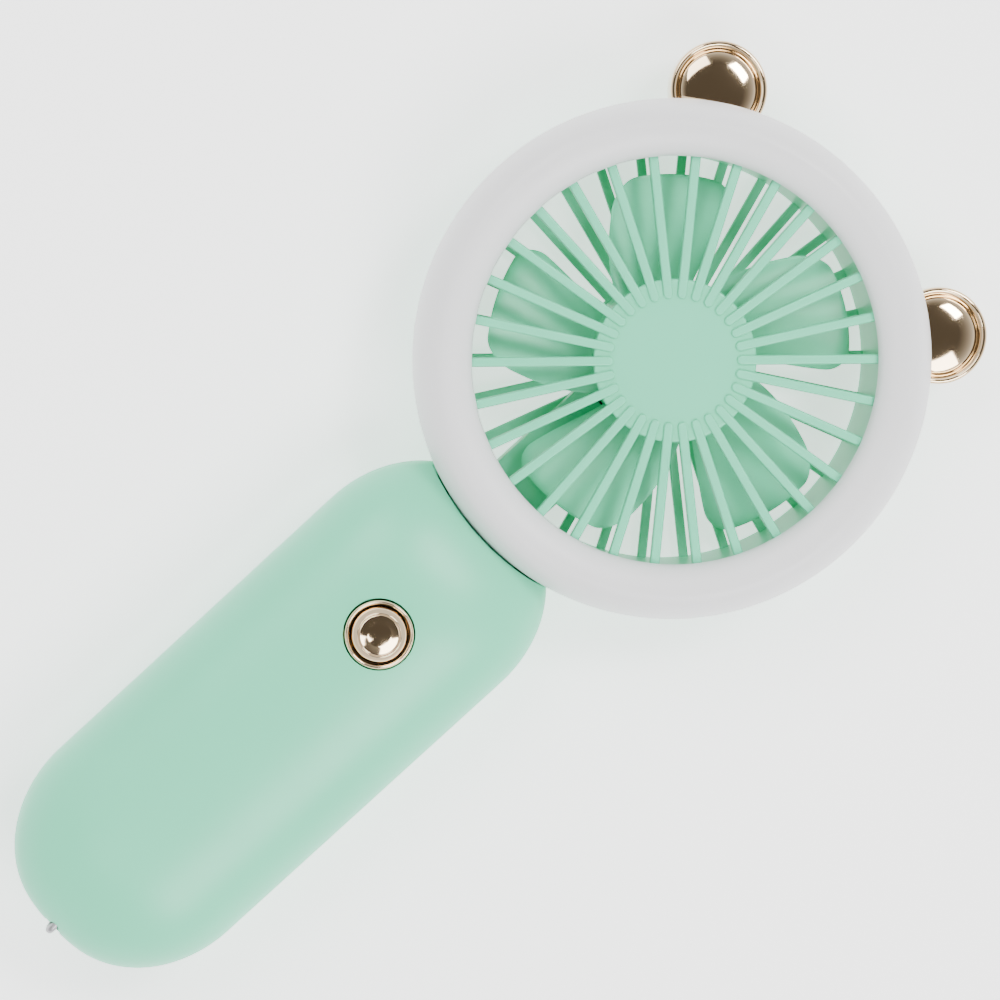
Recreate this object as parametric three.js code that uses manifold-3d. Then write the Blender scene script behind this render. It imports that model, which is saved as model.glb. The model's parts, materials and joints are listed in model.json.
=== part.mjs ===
// Handheld electric fan with a round head, two disc ears and a rounded bar handle.
//
// Millimetres. The fan lies on its back: +Z points out of the front grille, +Y from the handle
// to the top of the head, and the origin is on the impeller axis in the plane of the back.

import * as THREE from 'three';
import { mergeVertices } from 'three/addons/utils/BufferGeometryUtils.js';
import Module from 'manifold-3d';

const wasm = await Module();
wasm.setup();

// ---- Driving dimensions ----

const GAP = 0.3; // clearance between neighbouring pieces
const WALL = 1.8; // moulded wall
const LEAD_R = 0.5;
const SINK = 0.8; // how far a joined shape reaches into its neighbour
const BEYOND = 200; // past every edge of the fan, for cutting shapes
const TURNS = { large: 44, medium: 24, small: 12, wire: 8 }; // facets round a circle

// Front ring: the widest point lies below the crest.
const RING = { outerR: 46, innerR: 35.8, crestZ: 28.3, lipZ: 25, widestZ: 19, backZ: 16.5 };
RING.crestR = (RING.outerR + RING.innerR) / 2;
const RING_SKIRT = { innerR: 39.5, outerR: 41.9, backZ: 20 };

// Grilles: radial ribs from a round plate.
const RIB_COUNT = 30;
const RIB_PITCH = (2 * Math.PI) / RIB_COUNT;
const RIB_WIDTH = 1.65;
const HUB_R = 14.4;
const FRONT_GRILLE = { backZ: 22.2, plateZ: 23.8, ribZ: 24.4, ribInnerR: 10.9, rimInnerR: 36.4 };
FRONT_GRILLE.rimR = RING_SKIRT.innerR - GAP;
const REAR_RIB = { backZ: 0.8, frontZ: 2.6 };
const REAR_HUB_T = 1.6;

// Rear shell: a double wall round the air duct.
const DUCT_R = 36.6;
const DUCT_WALL = 1.6;
const DRUM_R = 44;
const SPIGOT_R = 43.1; // the part of the drum that the ring slips over
const DRUM_FLOOR_Z = 3.2;
const DRUM_EDGE_R = 5.5; // rounding of the back edge
const SPIGOT_TOP_Z = 21.7;
const DUCT_TOP_Z = FRONT_GRILLE.backZ - GAP;

// Wire arm from the hub to the duct wall, towards the handle.
const ARM = { halfWidth: 6.4, wall: 1.2, backZ: 0.5, floorZ: 1.7, frontZ: 5.2, coverT: 0.8 };
const WIRE_SLOT_HALF = 2.4;
const COVER_RIB = { nearY: -17, farY: -33, halfT: 0.4, depth: 1 }; // locates the arm's cover

// Neck tongue, clamped between the halves of the handle.
const NECK = { halfWidth: 8.6, backZ: 10.2, frontZ: 15.9, endY: -58.5 };
const NECK_DUCT = { halfWidth: 1.9, backZ: 11, frontZ: 14.4 };

// Ears: dished discs held by a tab in a slot of the drum.
const EAR = {
  r: 8.65,
  reach: 48.4, // from the impeller axis
  angle: 37.5, // degrees either side of +Y
  z: 12.7,
  halfT: 2.7,
  backChamfer: 0.8,
  rimWidth: 0.45,
  domeInset: 1.15, // from the edge of the disc to the edge of the dome
  domeHeight: 1.5,
  domeDrop: 1.1, // from the face of the rim down to the edge of the dome
};
const EAR_TAB = { halfWidth: 2.5, halfT: 1.5, flangeHalfWidth: 4.2, flangeT: 1.2 };

// Motor and impeller.
const MOTOR = { r: 12, wall: 0.8, backZ: 3.2, frontZ: 15.2, bossR: 3.1, bossZ: 16.6 };
const MOTOR_CUP = { innerR: 12.3, outerR: 13.9, frontZ: 9.3 };
const SHAFT = { r: 1, backZ: 2.3, frontZ: 20.4 };
const BUSH = { innerR: 1.15, outerR: 2.1, rearZ: 2.4, frontZ: 14.6, length: 2 };
const END_CAP = { neckR: 3.4, neckZ: 1.9, t: 1.4 };
const BRUSH = { innerX: 2.9, tagX: 6.5, tagHalf: 0.9, halfT: 0.3, frontZ: 6.1 };
const COMMUTATOR = { r: 2.4, backZ: 5.3, frontZ: 6.9 };
const ROTOR = { r: 8.4, hubR: 2.6, backZ: 7.6, frontZ: 12.4, poles: 3, toothWidth: 2.2 };
ROTOR.shoeT = 0.8;
ROTOR.shoeAngle = 48; // half the angle that a pole shoe spans
const COIL_T = 0.9;
const MAGNET = { innerR: 9, outerR: 10.9, backZ: 5.8, frontZ: 14, halfAngle: 62 };
const IMPELLER = { hubR: 13.9, hubInnerR: 12.9, backZ: 9.9, faceZ: 19.8, frontZ: 21, tipR: 32.8 };
IMPELLER.bossR = 3.2;
IMPELLER.bossZ = 17;
const BLADE = {
  count: 5,
  tipAngle: 63.6, // degrees from +X to the middle of the first tip
  rootLead: 15, // degrees that the root is turned ahead of the tip
  rootSpan: 62,
  tipSpan: 39,
  rootHeight: 7.4,
  tipHeight: 5.4,
  midZ: 13.8,
  camber: 0.5,
  thickness: 1,
  cornerR: 4.5,
};

// Handle: a bar with a superelliptic section and elliptic ends.
const HANDLE = {
  topY: -38.9,
  bottomY: -148.7,
  topHalfWidth: 22.45,
  bottomHalfWidth: 22.05,
  endHalfWidth: 3.75,
  endLength: 21.9, // length of the rounding, seen from the front
  halfT: 13.75,
  sideTopY: -41, // where the rounding of the thickness starts, at the head
  sideTopLength: 26,
  sideBottomLength: 20,
  endHalfT: 3,
  power: 2.4,
};
const BAR_SIDES = 32;
const MID_Z = HANDLE.halfT;
const SPLIT = GAP / 2; // each half stops this far from the middle plane

// Power button and the switch under it.
const BUTTON_Y = -70.6;
const BEZEL = { r: 6.05, innerR: 5.35, backZ: 24.7, frontZ: 28.2, flangeR: 6.9, flangeT: 0.4 };
const BUTTON = { r: 5.05, centreR: 3.8, flangeR: 6.2, backZ: 23.6, flangeT: 0.8, topZ: 29.1 };
const BUTTON_CAVITY = { r: 4.2, topZ: 27.4, postR: 1.5 };
const SWITCH = { half: 2.6, backZ: 23, frontZ: 24.6, wellR: 1.9, wellZ: 23.5 };
const PLUNGER = { r: 1.5, backZ: 24.2, frontZ: 25.4 };

// Boards, cells and port.
const BOARD = { halfX: 12.5, frontY: -61.5, rearY: -92, backZ: 21.6, frontZ: 22.7 };
const CELL = { r: 9, length: 65, x: 9.2, frontY: -66.8, z: 12.2 };
const CELL_END_Y = CELL.frontY - CELL.length;
const STRIP = { halfX: 13, halfZ: 3, t: 0.3 };
const CHARGE_BOARD = { halfX: 7, frontY: -135, rearY: -143.5, backZ: 8, frontZ: 9.1 };
const PORT = { halfX: 4.5, frontY: -140.4, mouthY: -148.3, backZ: 9.4, frontZ: 12.6, wall: 0.4 };
const TONGUE = { halfX: 3.4, frontY: -141.1, rearY: -146.4, halfT: 0.35 };
const CHIP = { x: 6, y: -82, halfX: 2, halfY: 2.5, height: 1.2 };
const INDUCTOR = { x: -6, y: -82, half: 2.5, height: 1.6 };

// Fasteners and lanyard bar.
const SCREW = { headR: 1.9, headT: 1.2, r: 1, boreR: 1.3, sinkR: 2.2, postR: 2.5 };
const NECK_SCREW = {
  x: 6,
  y: -53.5,
  seatZ: 4.2,
  tipZ: 20.5,
  backPostZ: NECK.backZ - GAP,
  frontPostZ: NECK.frontZ + GAP,
};
const END_SCREW = {
  x: 11,
  y: -139.5,
  seatZ: 5.6,
  tipZ: 19.4,
  backPostZ: MID_Z - SPLIT,
  frontPostZ: MID_Z + SPLIT,
};
const CASE_SCREWS = [
  { ...NECK_SCREW, x: -NECK_SCREW.x },
  NECK_SCREW,
  { ...END_SCREW, x: -END_SCREW.x },
  END_SCREW,
];
const BOARD_SCREW = { x: 9.5, y: -63.6, headR: 1.5, headT: 1, r: 0.7, length: 4.2, postR: 1.9 };
BOARD_SCREW.boreZ = 25.4;
const LANYARD = { r: 0.7, bend: 0.5, lowZ: 15.4, highZ: 19.4, outerY: -149.9, innerY: -145.3 };
const LANYARD_ANCHOR = { halfX: 3.4, frontY: -144.6, topZ: 21.2 };
const LANYARD_POCKET = { halfX: 1.9, frontY: -146.9 };

// ---- Shape helpers: each returns a manifold solid ----

function toSolid(geometry) {
  const bare = geometry.clone();
  for (const name of ['normal', 'uv']) bare.deleteAttribute(name);
  const merged = mergeVertices(bare, 1e-4);
  const positions = merged.getAttribute('position').array;
  const kept = [];
  let volume = 0;
  for (let i = 0; i < merged.index.count; i += 3) {
    const [a, b, c] = [0, 1, 2].map((k) => merged.index.getX(i + k));
    if (a === b || b === c || c === a) continue;
    kept.push(a, b, c);
    const [p, q, r] = [a, b, c].map((v) => new THREE.Vector3().fromArray(positions, 3 * v));
    volume += p.dot(q.cross(r));
  }
  if (volume < 0) kept.reverse();
  const vertProperties = Float32Array.from(positions);
  const triVerts = Uint32Array.from(kept);
  return new wasm.Manifold(new wasm.Mesh({ numProp: 3, vertProperties, triVerts }));
}

function join(first, ...others) {
  return others.reduce((whole, other) => whole.add(other), first);
}

function cut(first, ...others) {
  return others.reduce((whole, other) => whole.subtract(other), first);
}

function box(x0, x1, y0, y1, z0, z1) {
  const geometry = new THREE.BoxGeometry(x1 - x0, y1 - y0, z1 - z0);
  return toSolid(geometry.translate((x0 + x1) / 2, (y0 + y1) / 2, (z0 + z1) / 2));
}

function rod(r, z0, z1, turns = TURNS.small, x = 0, y = 0) {
  const geometry = new THREE.CylinderGeometry(r, r, z1 - z0, turns);
  return toSolid(geometry.rotateX(Math.PI / 2).translate(x, y, (z0 + z1) / 2));
}

function turned(profile, turns = TURNS.medium) {
  const points = profile.map(([r, z]) => new THREE.Vector2(r, z));
  return toSolid(new THREE.LatheGeometry(points, turns).rotateX(Math.PI / 2));
}

function pipe(outerR, innerR, z0, z1, turns = TURNS.medium) {
  const profile = [[innerR, z0], [outerR, z0], [outerR, z1], [innerR, z1], [innerR, z0]];
  return turned(profile, turns);
}

function prism(outline, z0, z1) {
  const shape = new THREE.Shape(outline.map(([x, y]) => new THREE.Vector2(x, y)));
  const geometry = new THREE.ExtrudeGeometry(shape, { depth: z1 - z0, bevelEnabled: false });
  return toSolid(geometry.translate(0, 0, z0));
}

function arc(centreX, centreY, radiusX, radiusY, from, to, steps) {
  return Array.from({ length: steps + 1 }, (_, i) => {
    const t = THREE.MathUtils.degToRad(from + ((to - from) * i) / steps);
    return [centreX + radiusX * Math.cos(t), centreY + radiusY * Math.sin(t)];
  });
}

function tube(points, r, steps, sides = TURNS.wire) {
  const path = new THREE.CatmullRomCurve3(points.map((p) => new THREE.Vector3(...p)));
  const section = new THREE.Shape(arc(0, 0, r, r, 0, 360 - 360 / sides, sides - 1).map(
    ([x, y]) => new THREE.Vector2(x, y),
  ));
  return toSolid(new THREE.ExtrudeGeometry(section, { steps, extrudePath: path }));
}

// A closed skin through loops that all have the same number of points.
function loft(loops) {
  const count = loops[0].length;
  const centre = (loop) => [0, 1, 2].map((k) => loop.reduce((s, p) => s + p[k], 0) / count);
  const points = [...loops.flat(), centre(loops[0]), centre(loops.at(-1))];
  const [start, end] = [points.length - 2, points.length - 1];
  const index = [];
  for (let i = 0; i < count; i += 1) {
    const next = (i + 1) % count;
    for (let j = 0; j + 1 < loops.length; j += 1) {
      const [a, b] = [j * count + i, j * count + next];
      index.push(a, b, b + count, a, b + count, a + count);
    }
    const last = (loops.length - 1) * count;
    index.push(start, next, i, end, last + i, last + next);
  }
  const geometry = new THREE.BufferGeometry();
  geometry.setAttribute('position', new THREE.Float32BufferAttribute(points.flat(), 3));
  geometry.setIndex(index);
  return toSolid(geometry);
}

// ---- Scene graph helpers ----

const fan = new THREE.Group();
const head = new THREE.Group();
const handle = new THREE.Group();
fan.add(head, handle);

const FINISHES = {
  mint: [0x9fd6bf, 0.45, 0],
  pale: [0xd6d6d6, 0.4, 0],
  gold: [0xc49a6c, 0.12, 1],
  steel: [0xb9bcc0, 0.3, 1],
  darkSteel: [0x6b6e73, 0.45, 1],
  bronze: [0xa9743c, 0.4, 1],
  copper: [0xb8622e, 0.35, 1],
  ferrite: [0x3a3a3d, 0.7, 0],
  black: [0x1d1d1f, 0.5, 0],
  board: [0x1f6b45, 0.5, 0],
  cellWrap: [0x5b8fb5, 0.5, 0],
  red: [0xb32424, 0.5, 0],
};

function place(group, name, solid, finish, position = [0, 0, 0], turnZ = 0) {
  const { vertProperties, triVerts } = solid.getMesh();
  const geometry = new THREE.BufferGeometry();
  geometry.setAttribute('position', new THREE.BufferAttribute(vertProperties, 3));
  geometry.setIndex(new THREE.BufferAttribute(triVerts, 1));
  geometry.computeVertexNormals();
  const [color, roughness, metalness] = FINISHES[finish];
  const material = new THREE.MeshStandardMaterial({ color, roughness, metalness });
  const mesh = new THREE.Mesh(geometry, material);
  mesh.name = name;
  mesh.position.set(...position);
  mesh.rotation.z = turnZ;
  group.add(mesh);
}

// ---- Head ----

function frontRing() {
  const { outerR, innerR, crestR, crestZ, lipZ, widestZ, backZ } = RING;
  const half = crestR - innerR;
  const grooveTopZ = SPIGOT_TOP_Z + GAP;
  const lipBackZ = FRONT_GRILLE.ribZ + GAP;
  return turned([
    [innerR, lipBackZ],
    ...arc(crestR, lipZ, half, crestZ - lipZ, 180, 90, 4),
    ...arc(crestR, widestZ, half, crestZ - widestZ, 90, 0, 6).slice(1),
    [outerR - 0.6, backZ],
    [SPIGOT_R + GAP, backZ],
    [SPIGOT_R + GAP, grooveTopZ],
    [RING_SKIRT.outerR, grooveTopZ],
    [RING_SKIRT.outerR, RING_SKIRT.backZ],
    [RING_SKIRT.innerR, RING_SKIRT.backZ],
    [RING_SKIRT.innerR, lipBackZ],
    [innerR, lipBackZ],
  ], TURNS.large);
}

// Ribs with a round inner end, one on each multiple of the pitch.
function ribs(innerR, outerR, z0, z1, keep = () => true) {
  const half = RIB_WIDTH / 2;
  const outline = [
    [outerR, -half],
    [outerR, half],
    ...arc(innerR + half, 0, half, half, 90, 270, 4),
  ];
  const rib = prism(outline, z0, z1);
  const all = Array.from({ length: RIB_COUNT }, (_, i) => i * RIB_PITCH).filter(keep);
  return all.map((angle) => rib.rotate([0, 0, THREE.MathUtils.radToDeg(angle)]));
}

function frontGrille() {
  const { backZ, plateZ, ribZ, ribInnerR, rimInnerR, rimR } = FRONT_GRILLE;
  return join(
    rod(HUB_R, backZ, plateZ, TURNS.large),
    pipe(rimR, rimInnerR, backZ, ribZ, TURNS.large),
    ...ribs(ribInnerR, rimInnerR + 0.6, backZ, ribZ),
  );
}

function rearShell() {
  const edgeR = DRUM_R - DRUM_EDGE_R;
  const walls = turned([
    [DUCT_R, DUCT_TOP_Z],
    [DUCT_R + DUCT_WALL, DUCT_TOP_Z],
    [DUCT_R + DUCT_WALL, DRUM_FLOOR_Z],
    [DRUM_R - WALL, DRUM_FLOOR_Z],
    [DRUM_R - WALL, SPIGOT_TOP_Z],
    [SPIGOT_R, SPIGOT_TOP_Z],
    [SPIGOT_R, RING.backZ - GAP],
    [DRUM_R, RING.backZ - GAP],
    ...arc(edgeR, DRUM_EDGE_R, DRUM_EDGE_R, DRUM_EDGE_R, 0, -90, 4),
    [DUCT_R + 0.3, 0],
    [DUCT_R, 0.3],
    [DUCT_R, DUCT_TOP_Z],
  ], TURNS.large);
  // The two ribs nearest to -Y would stand inside the arm, so they are left out.
  const clearOfArm = (angle) => Math.abs(angle - 1.5 * Math.PI) > RIB_PITCH;
  const { halfWidth, wall, backZ, floorZ, frontZ } = ARM;
  const armEnds = [-DUCT_R - SINK, -MOTOR_CUP.innerR - SINK];
  const solid = join(
    walls,
    rod(HUB_R, 0, REAR_HUB_T, TURNS.large),
    ...ribs(HUB_R - 2 * SINK, DUCT_R + SINK, REAR_RIB.backZ, REAR_RIB.frontZ, clearOfArm),
    pipe(MOTOR_CUP.outerR, MOTOR_CUP.innerR, 1, MOTOR_CUP.frontZ, TURNS.medium),
    box(-halfWidth, halfWidth, ...armEnds, backZ, floorZ),
    box(-halfWidth, wall - halfWidth, ...armEnds, backZ, frontZ),
    box(halfWidth - wall, halfWidth, ...armEnds, backZ, frontZ),
    box(-NECK.halfWidth, NECK.halfWidth, NECK.endY, SINK - DRUM_R, NECK.backZ, NECK.frontZ),
  );
  const slotHalf = EAR_TAB.halfWidth + GAP;
  const earSlot = box(-slotHalf, slotHalf, edgeR, DRUM_R + 1, EAR.z - EAR_TAB.halfT - GAP, BEYOND);
  const wireSlot = (y0, y1) => box(-WIRE_SLOT_HALF, WIRE_SLOT_HALF, y0, y1, floorZ, frontZ);
  const duct = NECK_DUCT;
  const screwHole = (side) => rod(
    SCREW.boreR + 0.1, NECK.backZ - 1, NECK.frontZ + 1, TURNS.small, side * NECK_SCREW.x, NECK_SCREW.y,
  );
  return cut(
    solid,
    earSlot.rotate([0, 0, EAR.angle]),
    earSlot.rotate([0, 0, -EAR.angle]),
    wireSlot(-MOTOR_CUP.outerR - 1, 1 - MOTOR_CUP.innerR),
    wireSlot(-DUCT_R - 2, 1 - DUCT_R),
    box(-duct.halfWidth, duct.halfWidth, NECK.endY - 1, 2 - DRUM_R, duct.backZ, duct.frontZ),
    screwHole(-1),
    screwHole(1),
  );
}

function wireCover() {
  const z0 = ARM.frontZ + GAP;
  const reach = ARM.halfWidth;
  const cover = box(-reach, reach, GAP - DUCT_R, -MOTOR_CUP.outerR - GAP, z0, z0 + ARM.coverT);
  const ribX = 0.9 * (ARM.halfWidth - ARM.wall - GAP);
  const { nearY, farY, halfT, depth } = COVER_RIB;
  const rib = (x) => box(x - halfT, x + halfT, farY, nearY, z0 - depth, z0 + ARM.coverT / 2);
  const trimmed = cover.intersect(rod(DUCT_R - GAP, z0 - 1, z0 + 2, TURNS.large));
  return join(trimmed, rib(-ribX), rib(ribX));
}

function ear() {
  const { r, halfT, reach, backChamfer, rimWidth, domeInset, domeHeight, domeDrop } = EAR;
  const domeR = r - domeInset;
  const domeZ = halfT - domeDrop;
  const disc = turned([
    [0, -halfT],
    [r - backChamfer, -halfT],
    [r, -halfT + backChamfer],
    [r, halfT - 2 * rimWidth],
    [r - rimWidth, halfT - 0.1],
    [domeR, domeZ],
    ...arc(0, domeZ, domeR, domeHeight, 15, 75, 4),
    [0, domeZ + domeHeight],
  ], TURNS.medium);
  const drum = rod(DRUM_R + GAP, -BEYOND, BEYOND, TURNS.large, 0, -reach);
  const { halfWidth, halfT: tabT, flangeHalfWidth, flangeT } = EAR_TAB;
  const flangeY = DRUM_R - WALL - reach - GAP; // the flange bears on the inside of the drum
  return join(
    cut(disc, drum),
    box(-halfWidth, halfWidth, flangeY - flangeT, 0, -tabT, tabT),
    box(-flangeHalfWidth, flangeHalfWidth, flangeY - flangeT, flangeY, -tabT, tabT),
  );
}

function earPlace(side) {
  const turn = THREE.MathUtils.degToRad(side * EAR.angle);
  return [[-EAR.reach * Math.sin(turn), EAR.reach * Math.cos(turn), EAR.z], turn];
}

place(head, 'front_ring', frontRing(), 'pale');
place(head, 'front_grille', frontGrille(), 'mint');
place(head, 'rear_shell', rearShell(), 'mint');
place(head, 'wire_cover', wireCover(), 'mint');
place(head, 'ear_left', ear(), 'gold', ...earPlace(1));
place(head, 'ear_right', ear(), 'gold', ...earPlace(-1));

// ---- Impeller ----

// One blade as a loft of chordwise sections from the hub to the tip.
function blade() {
  const along = 7;
  const across = 5;
  const { rootSpan, tipSpan, rootHeight, tipHeight, rootLead, cornerR, midZ } = BLADE;
  const { camber, thickness } = BLADE;
  const rootR = IMPELLER.hubR - 0.5;
  const loops = Array.from({ length: along + 1 }, (_, j) => {
    const v = Math.sin((j / along) * Math.PI * 0.5);
    const r = rootR + (IMPELLER.tipR - rootR) * v;
    const intoCorner = Math.max(0, r - (IMPELLER.tipR - cornerR));
    const corner = cornerR - Math.sqrt(Math.max(0, cornerR ** 2 - intoCorner ** 2));
    const span = THREE.MathUtils.lerp(rootSpan, tipSpan, v);
    const half = THREE.MathUtils.degToRad(span / 2) - (0.85 * corner) / r;
    const middle = THREE.MathUtils.degToRad(BLADE.tipAngle + rootLead * (1 - v) ** 1.4);
    const height = THREE.MathUtils.lerp(rootHeight, tipHeight, v);
    const skin = (side) => Array.from({ length: across }, (_, i) => {
      const u = (2 * i) / (across - 1) - 1;
      const angle = middle + u * half;
      const fullness = Math.sqrt(Math.max(0.15, 1 - u ** 4));
      const lift = (u * height) / 2 + camber * (1 - u * u);
      const z = midZ + lift + (side * thickness * fullness) / 2;
      return [r * Math.cos(angle), r * Math.sin(angle), z];
    });
    return [...skin(1), ...skin(-1).reverse()];
  });
  return loft(loops);
}

function impeller() {
  const { hubR, hubInnerR, backZ, faceZ, frontZ, bossR, bossZ } = IMPELLER;
  const boreR = SHAFT.r + GAP;
  const hub = turned([
    [boreR, bossZ],
    [bossR, bossZ],
    [bossR, faceZ],
    [hubInnerR, faceZ],
    [hubInnerR, backZ],
    [hubR, backZ],
    [hubR, faceZ],
    [hubR - 1.2, frontZ],
    [boreR, frontZ],
    [boreR, bossZ],
  ], TURNS.medium);
  const one = blade();
  const pitch = 360 / BLADE.count;
  const blades = Array.from({ length: BLADE.count }, (_, i) => one.rotate([0, 0, i * pitch]));
  const inside = rod(hubInnerR + 0.2, -BEYOND, faceZ, TURNS.medium);
  return join(hub, ...blades.map((each) => cut(each, inside)));
}

place(head, 'impeller', impeller(), 'mint');

// ---- Motor ----

function motorCase() {
  const { r, wall, backZ, frontZ, bossR, bossZ } = MOTOR;
  const boreR = BUSH.outerR + GAP;
  return turned([
    [r - wall, backZ],
    [r, backZ],
    [r, frontZ - 0.6],
    [r - 0.6, frontZ],
    [bossR, frontZ],
    [bossR, bossZ],
    [boreR, bossZ],
    [boreR, frontZ - wall],
    [r - wall, frontZ - wall],
    [r - wall, backZ],
  ]);
}

function motorEndCap() {
  const { neckR, neckZ, t } = END_CAP;
  const capR = MOTOR.r - MOTOR.wall - GAP;
  const boreR = BUSH.outerR + GAP;
  const solid = turned([
    [boreR, neckZ],
    [neckR, neckZ],
    [neckR, MOTOR.backZ],
    [capR, MOTOR.backZ],
    [capR, MOTOR.backZ + t],
    [boreR, MOTOR.backZ + t],
    [boreR, neckZ],
  ]);
  const half = BRUSH.tagHalf + GAP;
  const slotT = BRUSH.halfT + GAP;
  const slot = (x) => box(x - half, x + half, -slotT, slotT, 0, MOTOR.frontZ);
  return cut(solid, slot(-BRUSH.tagX), slot(BRUSH.tagX));
}

function bush(z) {
  return pipe(BUSH.outerR, BUSH.innerR, z, z + BUSH.length, TURNS.small);
}

// A brush blade inside the motor with its solder tag behind the end cap.
function brush(side) {
  const { innerX, tagX, tagHalf, halfT, frontZ } = BRUSH;
  const middle = side * tagX;
  const tag = box(middle - tagHalf, middle + tagHalf, -halfT, halfT, END_CAP.neckZ, frontZ);
  const ends = [side * innerX, middle].sort((a, b) => a - b);
  return join(tag, box(...ends, -halfT, halfT, frontZ - 0.8, frontZ));
}

function rotorCore() {
  const { r, hubR, backZ, frontZ, poles, toothWidth, shoeT, shoeAngle } = ROTOR;
  const tooth = (angle) => {
    const arm = box(0, r - shoeT / 2, -toothWidth / 2, toothWidth / 2, backZ, frontZ);
    const outer = arc(0, 0, r, r, -shoeAngle, shoeAngle, 8);
    const inner = arc(0, 0, r - shoeT, r - shoeT, shoeAngle, -shoeAngle, 8);
    return join(arm, prism([...outer, ...inner], backZ, frontZ)).rotate([0, 0, angle]);
  };
  const teeth = Array.from({ length: poles }, (_, i) => tooth((360 / poles) * i));
  const bore = rod(SHAFT.r + GAP, backZ - 1, frontZ + 1, TURNS.small);
  return cut(join(rod(hubR, backZ, frontZ, TURNS.small), ...teeth), bore);
}

// A winding round one tooth, as a rectangular loop.
function rotorCoil() {
  const { r, hubR, backZ, frontZ, toothWidth, shoeT } = ROTOR;
  const [x0, x1] = [hubR + 0.4, r - shoeT - 0.7];
  const inner = toothWidth / 2 + GAP;
  const outer = inner + COIL_T;
  return cut(
    box(x0, x1, -outer, outer, backZ - GAP - COIL_T, frontZ + GAP + COIL_T),
    box(x0 - 1, x1 + 1, -inner, inner, backZ - GAP, frontZ + GAP),
  );
}

function magnet() {
  const { innerR, outerR, backZ, frontZ, halfAngle } = MAGNET;
  const outer = arc(0, 0, outerR, outerR, -halfAngle, halfAngle, 10);
  const inner = arc(0, 0, innerR, innerR, halfAngle, -halfAngle, 10);
  return prism([...outer, ...inner], backZ, frontZ);
}

place(head, 'motor_case', motorCase(), 'steel');
place(head, 'motor_end_cap', motorEndCap(), 'black');
place(head, 'motor_shaft', rod(SHAFT.r, SHAFT.backZ, SHAFT.frontZ), 'steel');
place(head, 'front_bush', bush(BUSH.frontZ), 'bronze');
place(head, 'rear_bush', bush(BUSH.rearZ), 'bronze');
place(head, 'brush_left', brush(-1), 'bronze');
place(head, 'brush_right', brush(1), 'bronze');
place(head, 'commutator', pipe(
  COMMUTATOR.r, SHAFT.r + GAP, COMMUTATOR.backZ, COMMUTATOR.frontZ, TURNS.small,
), 'copper');
place(head, 'rotor_core', rotorCore(), 'darkSteel');
for (let i = 0; i < ROTOR.poles; i += 1) {
  const turn = (2 * Math.PI * i) / ROTOR.poles;
  place(head, `rotor_coil_${i + 1}`, rotorCoil(), 'copper', [0, 0, 0], turn);
}
place(head, 'magnet_left', magnet(), 'ferrite', [0, 0, 0], Math.PI);
place(head, 'magnet_right', magnet(), 'ferrite');

// ---- Handle ----

// From 0 at the end of a rounding to 1 where it is finished.
function roundOff(distance, length) {
  const t = THREE.MathUtils.clamp(distance / length, 0, 1);
  return Math.sqrt(1 - (1 - t) ** 2);
}

function halfWidthAt(y) {
  const { topY, bottomY, topHalfWidth, bottomHalfWidth, endHalfWidth, endLength } = HANDLE;
  const full = THREE.MathUtils.mapLinear(y, topY, bottomY, topHalfWidth, bottomHalfWidth);
  const round = Math.min(roundOff(topY - y, endLength), roundOff(y - bottomY, endLength));
  return endHalfWidth + (full - endHalfWidth) * round;
}

function halfThicknessAt(y) {
  const { bottomY, halfT, sideTopY, sideTopLength, sideBottomLength, endHalfT } = HANDLE;
  const top = halfT * roundOff(sideTopY - y, sideTopLength);
  const bottom = endHalfT + (halfT - endHalfT) * roundOff(y - bottomY, sideBottomLength);
  return Math.min(top, bottom);
}

function handleBar(inset) {
  const { power, bottomY, sideTopY } = HANDLE;
  const start = sideTopY - (inset > 0 ? 2.2 : 0.8);
  const end = bottomY + (inset > 0 ? inset + 0.6 : 0);
  const ends = [0, 0.6, 1.6, 3.4, 6, 9.5, 14, 20];
  const stations = [...ends.map((d) => end + d), ...ends.map((d) => start - d).reverse()];
  const loops = stations.map((y) => {
    const width = halfWidthAt(y) - inset;
    const thickness = halfThicknessAt(y) - inset;
    return Array.from({ length: BAR_SIDES }, (_, i) => {
      const t = (2 * Math.PI * i) / BAR_SIDES;
      const [c, s] = [Math.cos(t), Math.sin(t)];
      const x = width * Math.sign(c) * Math.abs(c) ** (2 / power);
      const z = MID_Z + thickness * Math.sign(s) * Math.abs(s) ** (2 / power);
      return [x, y, z];
    });
  });
  return loft(loops);
}

const outerBar = handleBar(0);
const postLimit = handleBar(WALL / 2); // posts end inside the wall
const hollowBar = cut(
  outerBar,
  handleBar(WALL),
  rod(DRUM_R + GAP, -1, RING.backZ, TURNS.large),
  rod(RING.outerR + GAP, RING.backZ - GAP, BEYOND, TURNS.large),
);
const neckRoom = box(
  -NECK.halfWidth - GAP, NECK.halfWidth + GAP,
  NECK.endY - GAP, 1 - DRUM_R,
  NECK.backZ - GAP, NECK.frontZ + GAP,
);

function frontPost({ x, y, frontPostZ }) {
  return rod(SCREW.postR, frontPostZ, 2 * MID_Z, TURNS.small, x, y).intersect(postLimit);
}

function backPost({ x, y, backPostZ }) {
  return rod(SCREW.postR + 0.2, 0, backPostZ, TURNS.small, x, y).intersect(postLimit);
}

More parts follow.
